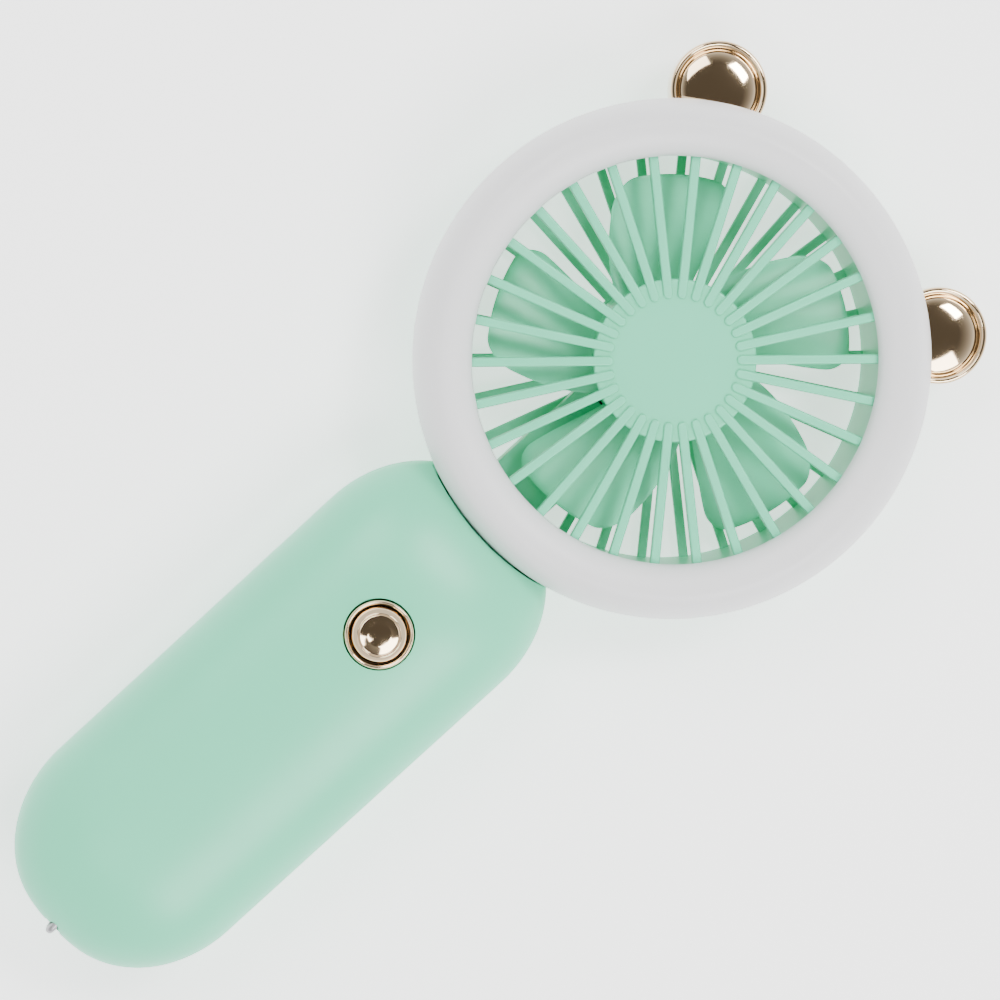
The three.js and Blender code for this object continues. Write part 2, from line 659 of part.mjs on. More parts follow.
function handleFront() {
  const half = hollowBar.intersect(box(-BEYOND, BEYOND, -BEYOND, 0, MID_Z + SPLIT, BEYOND));
  const { postR, x, y, boreZ } = BOARD_SCREW;
  const boardPost = (side) => rod(postR, BOARD.frontZ + GAP, 2 * MID_Z, TURNS.small, side * x, y);
  const { halfX, frontY, topZ } = LANYARD_ANCHOR;
  const anchor = box(-halfX, halfX, HANDLE.bottomY - 1, frontY, MID_Z + SPLIT, topZ);
  const pocketX = LANYARD_POCKET.halfX;
  const legHole = (z) => {
    const hole = rod(LANYARD.r + GAP, -6, LANYARD.innerY + GAP - HANDLE.bottomY, TURNS.small);
    return hole.rotate([-90, 0, 0]).translate([0, HANDLE.bottomY, z]);
  };
  return cut(
    join(
      half,
      ...CASE_SCREWS.map(frontPost),
      boardPost(-1).intersect(postLimit),
      boardPost(1).intersect(postLimit),
      anchor.intersect(postLimit),
    ),
    neckRoom,
    rod(BEZEL.r + GAP, MID_Z, BEYOND, TURNS.medium, 0, BUTTON_Y),
    ...CASE_SCREWS.map(({ x: sx, y: sy, tipZ }) => (
      rod(SCREW.boreR, 10, tipZ + GAP, TURNS.small, sx, sy)
    )),
    ...[-1, 1].map((side) => rod(BOARD_SCREW.r + GAP, MID_Z, boreZ, TURNS.small, side * x, y)),
    legHole(LANYARD.lowZ),
    legHole(LANYARD.highZ),
    box(
      -pocketX, pocketX, -BEYOND, LANYARD_POCKET.frontY,
      LANYARD.lowZ + 0.5, LANYARD.highZ - 0.5,
    ),
  );
}

function handleBack() {
  const half = hollowBar.intersect(box(-BEYOND, BEYOND, -BEYOND, 0, -1, MID_Z - SPLIT));
  return cut(
    join(half, ...CASE_SCREWS.map(backPost)),
    neckRoom,
    ...CASE_SCREWS.map(({ x, y }) => rod(SCREW.boreR, -1, MID_Z, TURNS.small, x, y)),
    ...CASE_SCREWS.map(({ x, y, seatZ }) => rod(SCREW.sinkR, -1, seatZ, TURNS.small, x, y)),
    box(
      -PORT.halfX - GAP, PORT.halfX + GAP, -BEYOND, PORT.frontY,
      PORT.backZ - GAP, PORT.frontZ + GAP,
    ),
  );
}

place(handle, 'handle_front', handleFront(), 'mint');
place(handle, 'handle_back', handleBack(), 'mint');

// ---- Button and switch ----

function bezel() {
  const { r, innerR, backZ, frontZ, flangeR, flangeT } = BEZEL;
  return turned([
    [innerR, backZ],
    [flangeR, backZ],
    [flangeR, backZ + flangeT],
    [r, backZ + flangeT],
    [r, frontZ - 0.4],
    [r - 0.3, frontZ],
    [innerR, frontZ - 0.2],
    [innerR, backZ],
  ]);
}

function powerButton() {
  const { r, centreR, flangeR, backZ, flangeT, topZ } = BUTTON;
  const { r: cavityR, topZ: cavityZ, postR } = BUTTON_CAVITY;
  return turned([
    [0, PLUNGER.frontZ + GAP],
    [postR, PLUNGER.frontZ + GAP],
    [postR, cavityZ],
    [cavityR, cavityZ],
    [cavityR, backZ],
    [flangeR, backZ],
    [flangeR, backZ + flangeT],
    [r, backZ + flangeT],
    [r, topZ - 1.3],
    [r - 0.4, topZ - 0.6],
    [centreR, topZ],
    [centreR - 0.3, topZ - 0.4],
    [2, topZ],
    [0, topZ + 0.15],
  ]);
}

function switchBody() {
  const { half, backZ, frontZ, wellR, wellZ } = SWITCH;
  return cut(box(-half, half, -half, half, backZ, frontZ), rod(wellR, wellZ, frontZ + 1));
}

const atButton = [0, BUTTON_Y, 0];
place(handle, 'button_bezel', bezel(), 'gold', atButton);
place(handle, 'power_button', powerButton(), 'gold', atButton);
place(handle, 'switch_body', switchBody(), 'black', atButton);
place(handle, 'switch_plunger', rod(PLUNGER.r, PLUNGER.backZ, PLUNGER.frontZ), 'black', atButton);

// ---- Boards and port ----

function mainBoard() {
  const { halfX, frontY, rearY, backZ, frontZ } = BOARD;
  const holes = [-1, 1].map((side) => (
    rod(BOARD_SCREW.r + GAP, MID_Z, BEYOND, TURNS.small, side * BOARD_SCREW.x, BOARD_SCREW.y)
  ));
  return cut(box(-halfX, halfX, rearY, frontY, backZ, frontZ), ...holes);
}

function chip(halfX, halfY, height) {
  return box(-halfX, halfX, -halfY, halfY, 0, height);
}

function chargePort() {
  const { halfX, frontY, mouthY, backZ, frontZ, wall } = PORT;
  return cut(
    box(-halfX, halfX, mouthY, frontY, backZ, frontZ),
    box(wall - halfX, halfX - wall, mouthY - 1, frontY - wall, backZ + wall, frontZ - wall),
  );
}

const onBoard = BOARD.frontZ + GAP;
place(handle, 'main_board', mainBoard(), 'board');
const chipSolid = chip(CHIP.halfX, CHIP.halfY, CHIP.height);
place(handle, 'controller_chip', chipSolid, 'black', [CHIP.x, CHIP.y, onBoard]);
const inductor = chip(INDUCTOR.half, INDUCTOR.half, INDUCTOR.height);
place(handle, 'boost_inductor', inductor, 'ferrite', [INDUCTOR.x, INDUCTOR.y, onBoard]);
place(handle, 'charge_board', box(
  -CHARGE_BOARD.halfX, CHARGE_BOARD.halfX,
  CHARGE_BOARD.rearY, CHARGE_BOARD.frontY,
  CHARGE_BOARD.backZ, CHARGE_BOARD.frontZ,
), 'board');
place(handle, 'charge_port', chargePort(), 'steel');
const tongueZ = (PORT.backZ + PORT.frontZ) / 2;
place(handle, 'port_tongue', box(
  -TONGUE.halfX, TONGUE.halfX,
  TONGUE.rearY, TONGUE.frontY,
  tongueZ - TONGUE.halfT, tongueZ + TONGUE.halfT,
), 'black');

// ---- Battery ----

function cell() {
  const { r, length } = CELL;
  return toSolid(new THREE.CylinderGeometry(r, r, length, TURNS.medium));
}

function strip() {
  const { halfX, halfZ, t } = STRIP;
  return box(-halfX, halfX, -t / 2, t / 2, -halfZ, halfZ);
}

const cellY = CELL.frontY - CELL.length / 2;
const stripAway = GAP + STRIP.t / 2;
place(handle, 'battery_cell_left', cell(), 'cellWrap', [-CELL.x, cellY, CELL.z]);
place(handle, 'battery_cell_right', cell(), 'cellWrap', [CELL.x, cellY, CELL.z]);
place(handle, 'nickel_strip_top', strip(), 'steel', [0, CELL.frontY + stripAway, CELL.z]);
place(handle, 'nickel_strip_bottom', strip(), 'steel', [0, CELL_END_Y - stripAway, CELL.z]);

// ---- Leads ----

function motorLead(x) {
  const neckZ = (NECK_DUCT.backZ + NECK_DUCT.frontZ) / 2;
  return tube([
    [x * 2.2, -7, 2.5],
    [x, -10, 2.5],
    [x, -13.6, 2.6],
    [x, -17, 3.9],
    [x, -36, 4],
    [x, -39.2, 4.8],
    [x, -40, 7.5],
    [x, -40.3, 10.8],
    [x, -41.4, 12.4],
    [x, -43.6, neckZ],
    [x, -57.5, neckZ],
    [x, -59.4, 15.5],
    [x, -59.8, 20.5],
    [x, -60.6, 23.6],
    [x, -63.2, BOARD.frontZ + GAP + 1.5 * LEAD_R],
  ], LEAD_R, 36);
}

function chargeLead(x) {
  const valleyZ = 19.6;
  return tube([
    [x, -136.5, CHARGE_BOARD.frontZ + GAP + LEAD_R],
    [x, -134.6, 11],
    [x, -133.7, 15],
    [x, -132.6, 18.6],
    [x, -129, valleyZ],
    [x, -110, valleyZ],
    [x, -94, valleyZ],
    [x, -90.5, BOARD.backZ - GAP - LEAD_R],
  ], LEAD_R, 14);
}

const batteryLeadRed = tube([[6.5, -65.4, 13], [6.5, -65.2, 17], [6.2, -64.8, 21.2]], LEAD_R, 5);
const batteryLeadBlack = tube([[-5, -133.2, 13], [-5, -134.4, 10.8], [-5, -137, 9.9]], LEAD_R, 5);

place(fan, 'motor_lead_red', motorLead(1.1), 'red');
place(fan, 'motor_lead_black', motorLead(-1.1), 'black');
place(handle, 'battery_lead_red', batteryLeadRed, 'red');
place(handle, 'battery_lead_black', batteryLeadBlack, 'black');
place(handle, 'charge_lead_red', chargeLead(0.9), 'red');
place(handle, 'charge_lead_black', chargeLead(-0.9), 'black');

// ---- Fasteners and lanyard bar ----

// A pan-head screw with its head at z = 0 and its shank along +Z, with a cross recess.
function screw({ headR, headT, r }, length) {
  const slot = (turn) => box(-headR * 0.6, headR * 0.6, -0.2, 0.2, -1, 0.4).rotate([0, 0, turn]);
  const solid = turned([
    [0, 0],
    [headR - 0.4, 0],
    [headR, 0.4],
    [headR, headT],
    [r, headT],
    [r, headT + length - 0.8],
    [0, headT + length],
  ], TURNS.small);
  return cut(solid, slot(0), slot(90));
}

CASE_SCREWS.forEach(({ x, y, seatZ, tipZ }, i) => {
  const seat = seatZ - GAP;
  const solid = screw(SCREW, tipZ - seat);
  place(handle, `case_screw_${i + 1}`, solid, 'darkSteel', [x, y, seat - SCREW.headT]);
});

[-1, 1].forEach((side, i) => {
  const { x, y, headT, length } = BOARD_SCREW;
  const z = BOARD.backZ - GAP - headT;
  place(handle, `board_screw_${i + 1}`, screw(BOARD_SCREW, length), 'darkSteel', [side * x, y, z]);
});

function lanyardBar() {
  const { r, bend, lowZ, highZ, outerY, innerY } = LANYARD;
  const y = outerY + r;
  const path = new THREE.CurvePath();
  const at = (py, pz) => new THREE.Vector3(0, py, pz);
  path.add(new THREE.LineCurve3(at(innerY, lowZ), at(y + bend, lowZ)));
  path.add(new THREE.QuadraticBezierCurve3(at(y + bend, lowZ), at(y, lowZ), at(y, lowZ + bend)));
  path.add(new THREE.LineCurve3(at(y, lowZ + bend), at(y, highZ - bend)));
  path.add(new THREE.QuadraticBezierCurve3(at(y, highZ - bend), at(y, highZ), at(y + bend, highZ)));
  path.add(new THREE.LineCurve3(at(y + bend, highZ), at(innerY, highZ)));
  const section = new THREE.Shape().absarc(0, 0, r, 0, 2 * Math.PI);
  const sides = { curveSegments: 4, steps: 22, extrudePath: path };
  return toSolid(new THREE.ExtrudeGeometry(section, sides));
}

place(handle, 'lanyard_bar', lanyardBar(), 'darkSteel');

export default fan;
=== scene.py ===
"""Looks of a handheld electric fan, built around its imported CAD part.

Shapes are worked out in millimetres, in the frame of the part, and become metres when a mesh is
made. The fan lies on its back: +Z out of the front grille, +Y from the handle to the top of the head.
"""

import json
import math

import bmesh
import bpy
from mathutils import Matrix, Vector


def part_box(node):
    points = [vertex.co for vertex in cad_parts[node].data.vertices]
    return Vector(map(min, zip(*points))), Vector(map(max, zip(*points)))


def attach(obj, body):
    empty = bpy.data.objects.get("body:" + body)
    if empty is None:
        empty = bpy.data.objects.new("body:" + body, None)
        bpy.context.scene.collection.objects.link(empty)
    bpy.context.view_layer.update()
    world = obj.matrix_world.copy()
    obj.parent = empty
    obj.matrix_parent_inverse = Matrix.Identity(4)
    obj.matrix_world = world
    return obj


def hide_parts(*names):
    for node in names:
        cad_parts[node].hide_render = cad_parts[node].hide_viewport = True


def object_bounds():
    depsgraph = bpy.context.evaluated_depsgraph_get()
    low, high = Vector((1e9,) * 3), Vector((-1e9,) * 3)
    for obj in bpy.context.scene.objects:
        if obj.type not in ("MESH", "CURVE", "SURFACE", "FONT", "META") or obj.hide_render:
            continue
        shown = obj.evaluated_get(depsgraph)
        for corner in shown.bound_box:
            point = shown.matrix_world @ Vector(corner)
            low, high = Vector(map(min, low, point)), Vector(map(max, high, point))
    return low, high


MM = 0.001
GAP = 0.3  # clearance between neighbouring pieces
SINK = 0.8  # how far a joined shape reaches into its neighbour
PAST = 1.0  # how far a cutter reaches past what it cuts
BEYOND = 200.0  # further than anything in the fan
WIDE = 256  # sides of the widest turned shapes
SHARP = math.radians(38)  # steeper edges stay crisp in the shading
BEVELLED = math.radians(40)  # steeper edges are rounded

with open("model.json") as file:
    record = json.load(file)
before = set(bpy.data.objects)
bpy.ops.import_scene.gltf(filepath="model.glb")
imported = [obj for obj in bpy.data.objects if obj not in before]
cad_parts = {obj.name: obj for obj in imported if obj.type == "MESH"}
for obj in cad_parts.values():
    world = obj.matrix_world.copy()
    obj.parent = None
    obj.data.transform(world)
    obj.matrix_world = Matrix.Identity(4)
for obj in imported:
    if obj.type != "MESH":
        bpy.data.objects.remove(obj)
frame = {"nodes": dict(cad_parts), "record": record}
cad_low, cad_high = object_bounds()


def span(node):
    """Lowest and highest corner of a CAD node at rest, in millimetres."""
    low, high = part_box(node)
    return low / MM, high / MM


# ---- Shapes: each is (points, faces), in millimetres ----


def merged(*shapes):
    points, faces = [], []
    for shape_points, shape_faces in shapes:
        first = len(points)
        points += shape_points
        faces += [[first + i for i in face] for face in shape_faces]
    return points, faces


def moved(shape, x=0.0, y=0.0, z=0.0, turn=0.0):
    """The shape turned about the Z axis by turn radians, then moved."""
    c, s = math.cos(turn), math.sin(turn)
    return [(c * px - s * py + x, s * px + c * py + y, pz + z) for px, py, pz in shape[0]], shape[1]


def arc(centre, radii, start, end, steps):
    """Points on an ellipse, from one angle to another in degrees."""
    angles = [math.radians(start + (end - start) * i / steps) for i in range(steps + 1)]
    return [(centre[0] + radii[0] * math.cos(a), centre[1] + radii[1] * math.sin(a)) for a in angles]


def softened(profile, radius, closed=True, steps=3):
    """The outline with each corner replaced by a short curve. An open outline keeps its two ends."""
    count, result = len(profile), []
    for i, corner in enumerate(profile):
        if not closed and i in (0, count - 1):
            result.append(corner)
            continue
        here = Vector(corner)
        before, after = Vector(profile[i - 1]), Vector(profile[(i + 1) % count])
        start = here + (before - here).normalized() * min(radius, 0.45 * (before - here).length)
        end = here + (after - here).normalized() * min(radius, 0.45 * (after - here).length)
        for k in range(steps + 1):
            t = k / steps
            point = start * (1 - t) ** 2 + here * 2 * t * (1 - t) + end * t * t
            result.append((point.x, point.y))
    return result


def turned(profile, turns=144):
    """A solid of revolution about the Z axis. The profile of (radius, z) points closes on itself, or
    starts and ends on the axis."""
    on_axis = profile[0][0] < 1e-6
    points, rings = [], []
    for radius, z in profile:
        around = 1 if radius < 1e-6 else turns
        rings.append([len(points) + k for k in range(around)])
        for k in range(around):
            angle = 2 * math.pi * k / turns
            points.append((radius * math.cos(angle), radius * math.sin(angle), z))
    pairs = list(zip(rings, rings[1:])) + ([] if on_axis else [(rings[-1], rings[0])])
    faces = []
    for a, b in pairs:
        for k in range(turns):
            corners = [a[k % len(a)], a[(k + 1) % len(a)], b[(k + 1) % len(b)], b[k % len(b)]]
            face = list(dict.fromkeys(corners))
            if len(face) > 2:
                faces.append(face)
    return points, faces


def disc(radius, low, high, edge=0.3, turns=144):
    profile = [(0, low), (radius, low), (radius, high), (0, high)]
    return turned(softened(profile, edge, closed=False) if edge else profile, turns)


def pipe(inner, outer, low, high, edge=0.2, turns=144):
    return turned(softened([(inner, low), (outer, low), (outer, high), (inner, high)], edge), turns)


def lofted(loops):
    """A closed skin through loops of the same number of points, with flat ends."""
    count = len(loops[0])
    faces = [list(range(count)), [len(loops) * count - 1 - k for k in range(count)]]
    for j in range(len(loops) - 1):
        for i in range(count):
            a, b = j * count + i, j * count + (i + 1) % count
            faces.append([a, b, b + count, a + count])
    return [point for loop in loops for point in loop], faces


def prism(outline, low, high, edge=0.0):
    """The outline pulled up from low to high, with its sharp edges rounded."""
    shape = lofted([[(x, y, z) for x, y in outline] for z in (low, high)])
    return rounded(shape, edge) if edge else shape


def block(low, high, edge=0.0):
    (x0, y0, z0), (x1, y1, z1) = low, high
    return prism([(x0, y0), (x1, y0), (x1, y1), (x0, y1)], z0, z1, edge)


def rounded(shape, width, segments=3):
    """The shape with each of its sharp edges bevelled."""
    mesh = to_bmesh(shape, 1)
    sharp = [e for e in mesh.edges if len(e.link_faces) == 2 and e.calc_face_angle(0) > BEVELLED]
    bmesh.ops.bevel(mesh, geom=sharp, offset=width, segments=segments, profile=0.5, affect="EDGES")
    mesh.verts.index_update()
    result = [tuple(v.co) for v in mesh.verts], [[v.index for v in f.verts] for f in mesh.faces]
    mesh.free()
    return result


def pulled(outline, y0, y1):
    """An outline of (x, z) points pulled along the Y axis."""
    return lofted([[(x, y, z) for x, z in outline] for y in (y0, y1)])


def swept(path, radius, sides=20):
    """A round wire along points in the plane x = 0, cut square at its ends."""
    loops = []
    for i, (y, z) in enumerate(path):
        (y0, z0), (y1, z1) = path[max(i - 1, 0)], path[min(i + 1, len(path) - 1)]
        along = Vector((0, y1 - y0, z1 - z0)).normalized()
        across = Vector((1, 0, 0))
        up = along.cross(across)
        angles = [2 * math.pi * k / sides for k in range(sides)]
        ring = [Vector((0, y, z)) + radius * (math.cos(a) * across + math.sin(a) * up) for a in angles]
        loops.append([tuple(p) for p in ring])
    return lofted(loops)


# ---- Blender objects ----


def to_bmesh(shape, scale):
    """A mesh of the shape, with its faces turned outwards."""
    mesh = bmesh.new()
    corners = [mesh.verts.new([scale * c for c in point]) for point in shape[0]]
    for face in shape[1]:
        mesh.faces.new([corners[i] for i in face])
    bmesh.ops.recalc_face_normals(mesh, faces=mesh.faces)
    if mesh.calc_volume(signed=True) < 0:
        bmesh.ops.reverse_faces(mesh, faces=mesh.faces)
    return mesh


def add_object(name, shape):
    mesh = to_bmesh(shape, MM)
    data = bpy.data.meshes.new(name)
    mesh.to_mesh(data)
    mesh.free()
    piece = bpy.data.objects.new(name, data)
    bpy.context.scene.collection.objects.link(piece)
    return piece


def combine(piece, other, operation):
    """Joins, subtracts or intersects another object, which is used up."""
    modifier = piece.modifiers.new("combine", "BOOLEAN")
    modifier.operation = operation
    modifier.solver = "EXACT"
    modifier.object = other
    graph = bpy.context.evaluated_depsgraph_get()
    piece.data = bpy.data.meshes.new_from_object(piece.evaluated_get(graph))
    piece.modifiers.clear()
    bpy.data.objects.remove(other)
    return piece


def carve(piece, shape):
    return combine(piece, add_object("cutter", shape), "DIFFERENCE")


def fuse(piece, shape):
    return combine(piece, add_object("addition", shape), "UNION")


def finish_piece(piece, slot, body, *nodes):
    """Smooths a piece, gives it its material and body, and lets it stand for its CAD nodes."""
    piece.data.shade_smooth()
    piece.data.set_sharp_from_angle(angle=SHARP)
    weighted = piece.modifiers.new("normals", "WEIGHTED_NORMAL")
    weighted.keep_sharp = True
    piece.data.materials.clear()
    piece.data.materials.append(MATERIALS[slot])
    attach(piece, body)
    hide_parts(*nodes)
    return piece


# ---- Materials ----

TONE_EDGES = (0.3, 0.7)  # noise at which a surface is at its darkest and at its lightest
TONE_GRAIN = 22.0  # size of the slow changes of tone
GLOSS_GRAIN = 6.0
GLOSS_RANGE = (0.9, 1.1)


def new_material(name, roughness, metallic=0.0, **sockets):
    material = bpy.data.materials.new(name)
    material.use_nodes = True
    shader = material.node_tree.nodes["Principled BSDF"]
    values = {"Roughness": roughness, "Metallic": metallic, **sockets}
    for socket, value in values.items():
        shader.inputs[socket].default_value = value
    return material, shader


def noise(tree, grain, detail=3.0):
    """A noise pattern whose features are about grain millimetres across, in the part's own frame."""
    place = tree.nodes.new("ShaderNodeTexCoord")
    pattern = tree.nodes.new("ShaderNodeTexNoise")
    pattern.inputs["Scale"].default_value = 1 / (grain * MM)
    pattern.inputs["Detail"].default_value = detail
    tree.links.new(place.outputs["Object"], pattern.inputs["Vector"])
    return pattern.outputs["Fac"]


def vary_colour(tree, shader, light, dark, grain):
    ramp = tree.nodes.new("ShaderNodeValToRGB")
    for stop, position, colour in zip(ramp.color_ramp.elements, TONE_EDGES, (dark, light)):
        stop.position = position
        stop.color = (*colour, 1)
    tree.links.new(noise(tree, grain), ramp.inputs["Fac"])
    tree.links.new(ramp.outputs["Color"], shader.inputs["Base Color"])


def vary_roughness(tree, shader, low, high, grain):
    spread = tree.nodes.new("ShaderNodeMapRange")
    spread.inputs["To Min"].default_value = low
    spread.inputs["To Max"].default_value = high
    tree.links.new(noise(tree, grain), spread.inputs["Value"])
    tree.links.new(spread.outputs["Result"], shader.inputs["Roughness"])


def add_bump(tree, shader, grain, height):
    bump = tree.nodes.new("ShaderNodeBump")
    bump.inputs["Strength"].default_value = 1.0
    bump.inputs["Distance"].default_value = height * MM
    tree.links.new(noise(tree, grain, 2.0), bump.inputs["Height"])
    tree.links.new(bump.outputs["Normal"], shader.inputs["Normal"])


def make_material(name, colour, roughness, metallic=0.0, spread=0.03, grain=0.35, height=0.004):
    """A surface with slow changes of tone, uneven gloss and a fine grain, in millimetres."""
    material, shader = new_material(name, roughness, metallic)
    tree = material.node_tree
    light = [min(1.0, c * (1 + spread)) for c in colour]
    dark = [c * (1 - spread) for c in colour]
    vary_colour(tree, shader, light, dark, TONE_GRAIN)
    vary_roughness(tree, shader, roughness * GLOSS_RANGE[0], roughness * GLOSS_RANGE[1], GLOSS_GRAIN)
    add_bump(tree, shader, grain, height)
    return material


MINT = (0.11, 0.62, 0.37)
PALE = (0.69, 0.69, 0.70)
GOLD = (0.74, 0.57, 0.37)

SURFACES = {
    "mint_plastic": dict(colour=MINT, roughness=0.36, spread=0.012),
    "pale_plastic": dict(colour=PALE, roughness=0.40, spread=0.008),
    "gold_plating": dict(colour=GOLD, roughness=0.07, metallic=1.0, grain=3.0, height=0.002),
    "bright_steel": dict(colour=(0.62, 0.63, 0.65), roughness=0.28, metallic=1.0, height=0.002),
    "dark_steel": dict(colour=(0.16, 0.165, 0.175), roughness=0.42, metallic=1.0, height=0.003),
    "loop_metal": dict(colour=(0.36, 0.36, 0.37), roughness=0.38, metallic=1.0, height=0.002),
    "bronze": dict(colour=(0.42, 0.24, 0.10), roughness=0.50, metallic=1.0, grain=0.15, height=0.006),
    "copper": dict(
        colour=(0.48, 0.16, 0.06), roughness=0.30, metallic=1.0, spread=0.10, grain=0.2, height=0.03,
    ),
    "ferrite": dict(colour=(0.035, 0.035, 0.038), roughness=0.70, spread=0.15, height=0.012),
    "black_plastic": dict(colour=(0.012, 0.012, 0.014), roughness=0.50, spread=0.10),
    "black_insulation": dict(colour=(0.014, 0.014, 0.014), roughness=0.55, spread=0.10),
    "red_insulation": dict(colour=(0.45, 0.018, 0.014), roughness=0.50, spread=0.06),
    "circuit_board": dict(colour=(0.012, 0.105, 0.045), roughness=0.35, spread=0.12, grain=0.8),
    "cell_wrap": dict(colour=(0.10, 0.26, 0.44), roughness=0.35, spread=0.04, grain=1.5, height=0.01),
}
MATERIALS = {name: make_material(name, **surface) for name, surface in SURFACES.items()}


# ---- Head ----

RING_LOW, RING_HIGH = span("front_ring")
RING_R = RING_HIGH.x
RING_INNER_R = 35.8
RING_LIP_Z = 25.0
RING_WIDEST_Z = 19.0
RING_TUCK = 0.6  # how far the outside of the ring is drawn in at its back
SPIGOT_R = 43.1
SPIGOT_TOP_Z = 21.7
SKIRT = {"inner": 39.5, "outer": 41.9, "back": 20.0}
MOULDED_EDGE = 0.2
GRILLE_LOW, GRILLE_HIGH = span("front_grille")
GRILLE_RIM_R = RING_INNER_R + 0.6
GRILLE_RIB = {"start": 10.9, "end": RING_INNER_R + 1.2}
RIB_COUNT = 30
RIB_WIDTH = 1.65
RIB_EDGE = 0.35
HUB_R = 14.4
HUB_EDGE = 0.5
HUB_STEP = 0.6  # the front ribs stand this much above the hub plate


def front_ring():
    """The rolled ring with the groove and skirt that hold it on the drum."""
    half = (RING_R - RING_INNER_R) / 2
    crest_r, crest_z = RING_R - half, RING_HIGH.z
    lip_back = GRILLE_HIGH.z + GAP
    groove_top = SPIGOT_TOP_Z + GAP
    outside = [
        *arc((crest_r, RING_LIP_Z), (half, crest_z - RING_LIP_Z), 180, 90, 24),
        *arc((crest_r, RING_WIDEST_Z), (half, crest_z - RING_WIDEST_Z), 90, 0, 36)[1:],
    ]
    inside = [
        (RING_R - RING_TUCK, RING_LOW.z),
        (SPIGOT_R + GAP, RING_LOW.z),
        (SPIGOT_R + GAP, groove_top),
        (SKIRT["outer"], groove_top),
        (SKIRT["outer"], SKIRT["back"]),
        (SKIRT["inner"], SKIRT["back"]),
        (SKIRT["inner"], lip_back),
        (RING_INNER_R, lip_back),
    ]
    profile = [*outside, *softened(inside, MOULDED_EDGE, closed=False)]
    ring = add_object("ring", turned(profile, WIDE))
    return finish_piece(ring, "pale_plastic", "front_cover", "front_ring")


def radial_rib(inner, outer, low, high):
    """A bar with a round inner end, along +X."""
    half = RIB_WIDTH / 2
    outline = [(outer, -half), (outer, half), *arc((inner + half, 0), (half, half), 90, 270, 14)]
    return prism(outline, low, high, RIB_EDGE)


def spaced_ribs(rib, skip=()):
    """Copies of a rib all the way round, apart from those to skip."""
    pitch = 2 * math.pi / RIB_COUNT
    return [moved(rib, turn=pitch * i) for i in range(RIB_COUNT) if i not in skip]


def front_grille():
    low, high = GRILLE_LOW.z, GRILLE_HIGH.z
    rim = pipe(GRILLE_RIM_R, SKIRT["inner"] - GAP, low, high)
    piece = add_object("grille", merged(disc(HUB_R, low, high - HUB_STEP, HUB_EDGE), rim))
    fuse(piece, merged(*spaced_ribs(radial_rib(GRILLE_RIB["start"], GRILLE_RIB["end"], low, high))))
    return finish_piece(piece, "mint_plastic", "front_cover", "front_grille")


DUCT_R = 36.6
DUCT_WALL = 1.6
DUCT_EDGE = 0.3
DRUM_R = 44.0
DRUM_WALL = 1.8
DRUM_FLOOR = 3.2
DRUM_EDGE_R = 5.5
REAR_RIB = {"back": 0.8, "front": 2.6}
REAR_HUB = {"front": 1.6, "edge": 0.4}
RIBS_IN_ARM = (22, 23)  # the two nearest to -Y, which would stand in the wire channel
CUP = {"inner": 12.3, "outer": 13.9, "back": 1.0, "front": 9.3}
ARM = {"half": 6.4, "wall": 1.2, "back": 0.5, "floor": 1.7, "front": 5.2}
WIRE_SLOT_HALF = 2.4
NECK = {"half": 8.6, "back": 10.2, "front": 15.9, "edge": 0.3, "hole_play": 0.1}
NECK_BOTTOM = span("rear_shell")[0].y
NECK_DUCT = {"half": 1.9, "back": 11.0, "front": 14.4}
SCREW = {
    "head_r": 1.9, "head_t": 1.2, "sink_r": 2.2, "bore_r": 1.3, "r": 1.0,
    "post_r": 2.5, "foot_extra": 0.2,  # the back half's posts are this much thicker
}
BOARD_SCREW = {"head_r": 1.5, "head_t": 1.0, "r": 0.7, "post_r": 1.9, "bore_top": 25.4}
EAR_ANGLE = math.radians(37.5)
EAR_REACH = 48.4
EAR_SLOT_HALF = 2.8
EAR_SLOT_BACK = 9.7
EAR = {"r": 8.65, "rim": 0.55, "base_inset": 2.6, "shoulder": 0.8, "base_edge": 0.5}
EAR_BOWL = {"inset": 1.55, "drop": 1.35, "depth": 1.25}
EAR_STEM = {"half": 2.5, "half_t": 1.4, "top": -2.5, "overlap": 0.6}
EAR_FLANGE = {"half": 4.2, "half_t": 1.5, "thick": 1.2}


def screw_places(kind, count):
    """The axis, head and tip of each screw of a kind."""
    for i in range(count):
        low, high = span(f"{kind}_{i + 1}")
        yield (low.x + high.x) / 2, (low.y + high.y) / 2, low.z, high.z


CASE_SCREWS = list(screw_places("case_screw", 4))
BOARD_SCREWS = list(screw_places("board_screw", 2))


def drum():
    """The shell's outer wall and air duct, with a slot for each ear."""
    duct_top = GRILLE_LOW.z - GAP
    step_z = RING_LOW.z - GAP
    edge_r = DRUM_R - DRUM_EDGE_R
    profile = [
        *softened([
            (DUCT_R, DUCT_EDGE),
            (DUCT_R, duct_top),
            (DUCT_R + DUCT_WALL, duct_top),
            (DUCT_R + DUCT_WALL, DRUM_FLOOR),
            (DRUM_R - DRUM_WALL, DRUM_FLOOR),
            (DRUM_R - DRUM_WALL, SPIGOT_TOP_Z),
            (SPIGOT_R, SPIGOT_TOP_Z),
            (SPIGOT_R, step_z),
            (DRUM_R, step_z),
        ], MOULDED_EDGE, closed=False),
        *arc((edge_r, DRUM_EDGE_R), (DRUM_EDGE_R, DRUM_EDGE_R), 0, -90, 28),
        (DUCT_R + DUCT_EDGE, 0.0),
    ]
    piece = add_object("shell", turned(profile, WIDE))
    slot = block((edge_r, -EAR_SLOT_HALF, EAR_SLOT_BACK), (DRUM_R + PAST, EAR_SLOT_HALF, BEYOND))
    quarter = math.pi / 2
    carve(piece, merged(moved(slot, turn=quarter + EAR_ANGLE), moved(slot, turn=quarter - EAR_ANGLE)))
    return piece


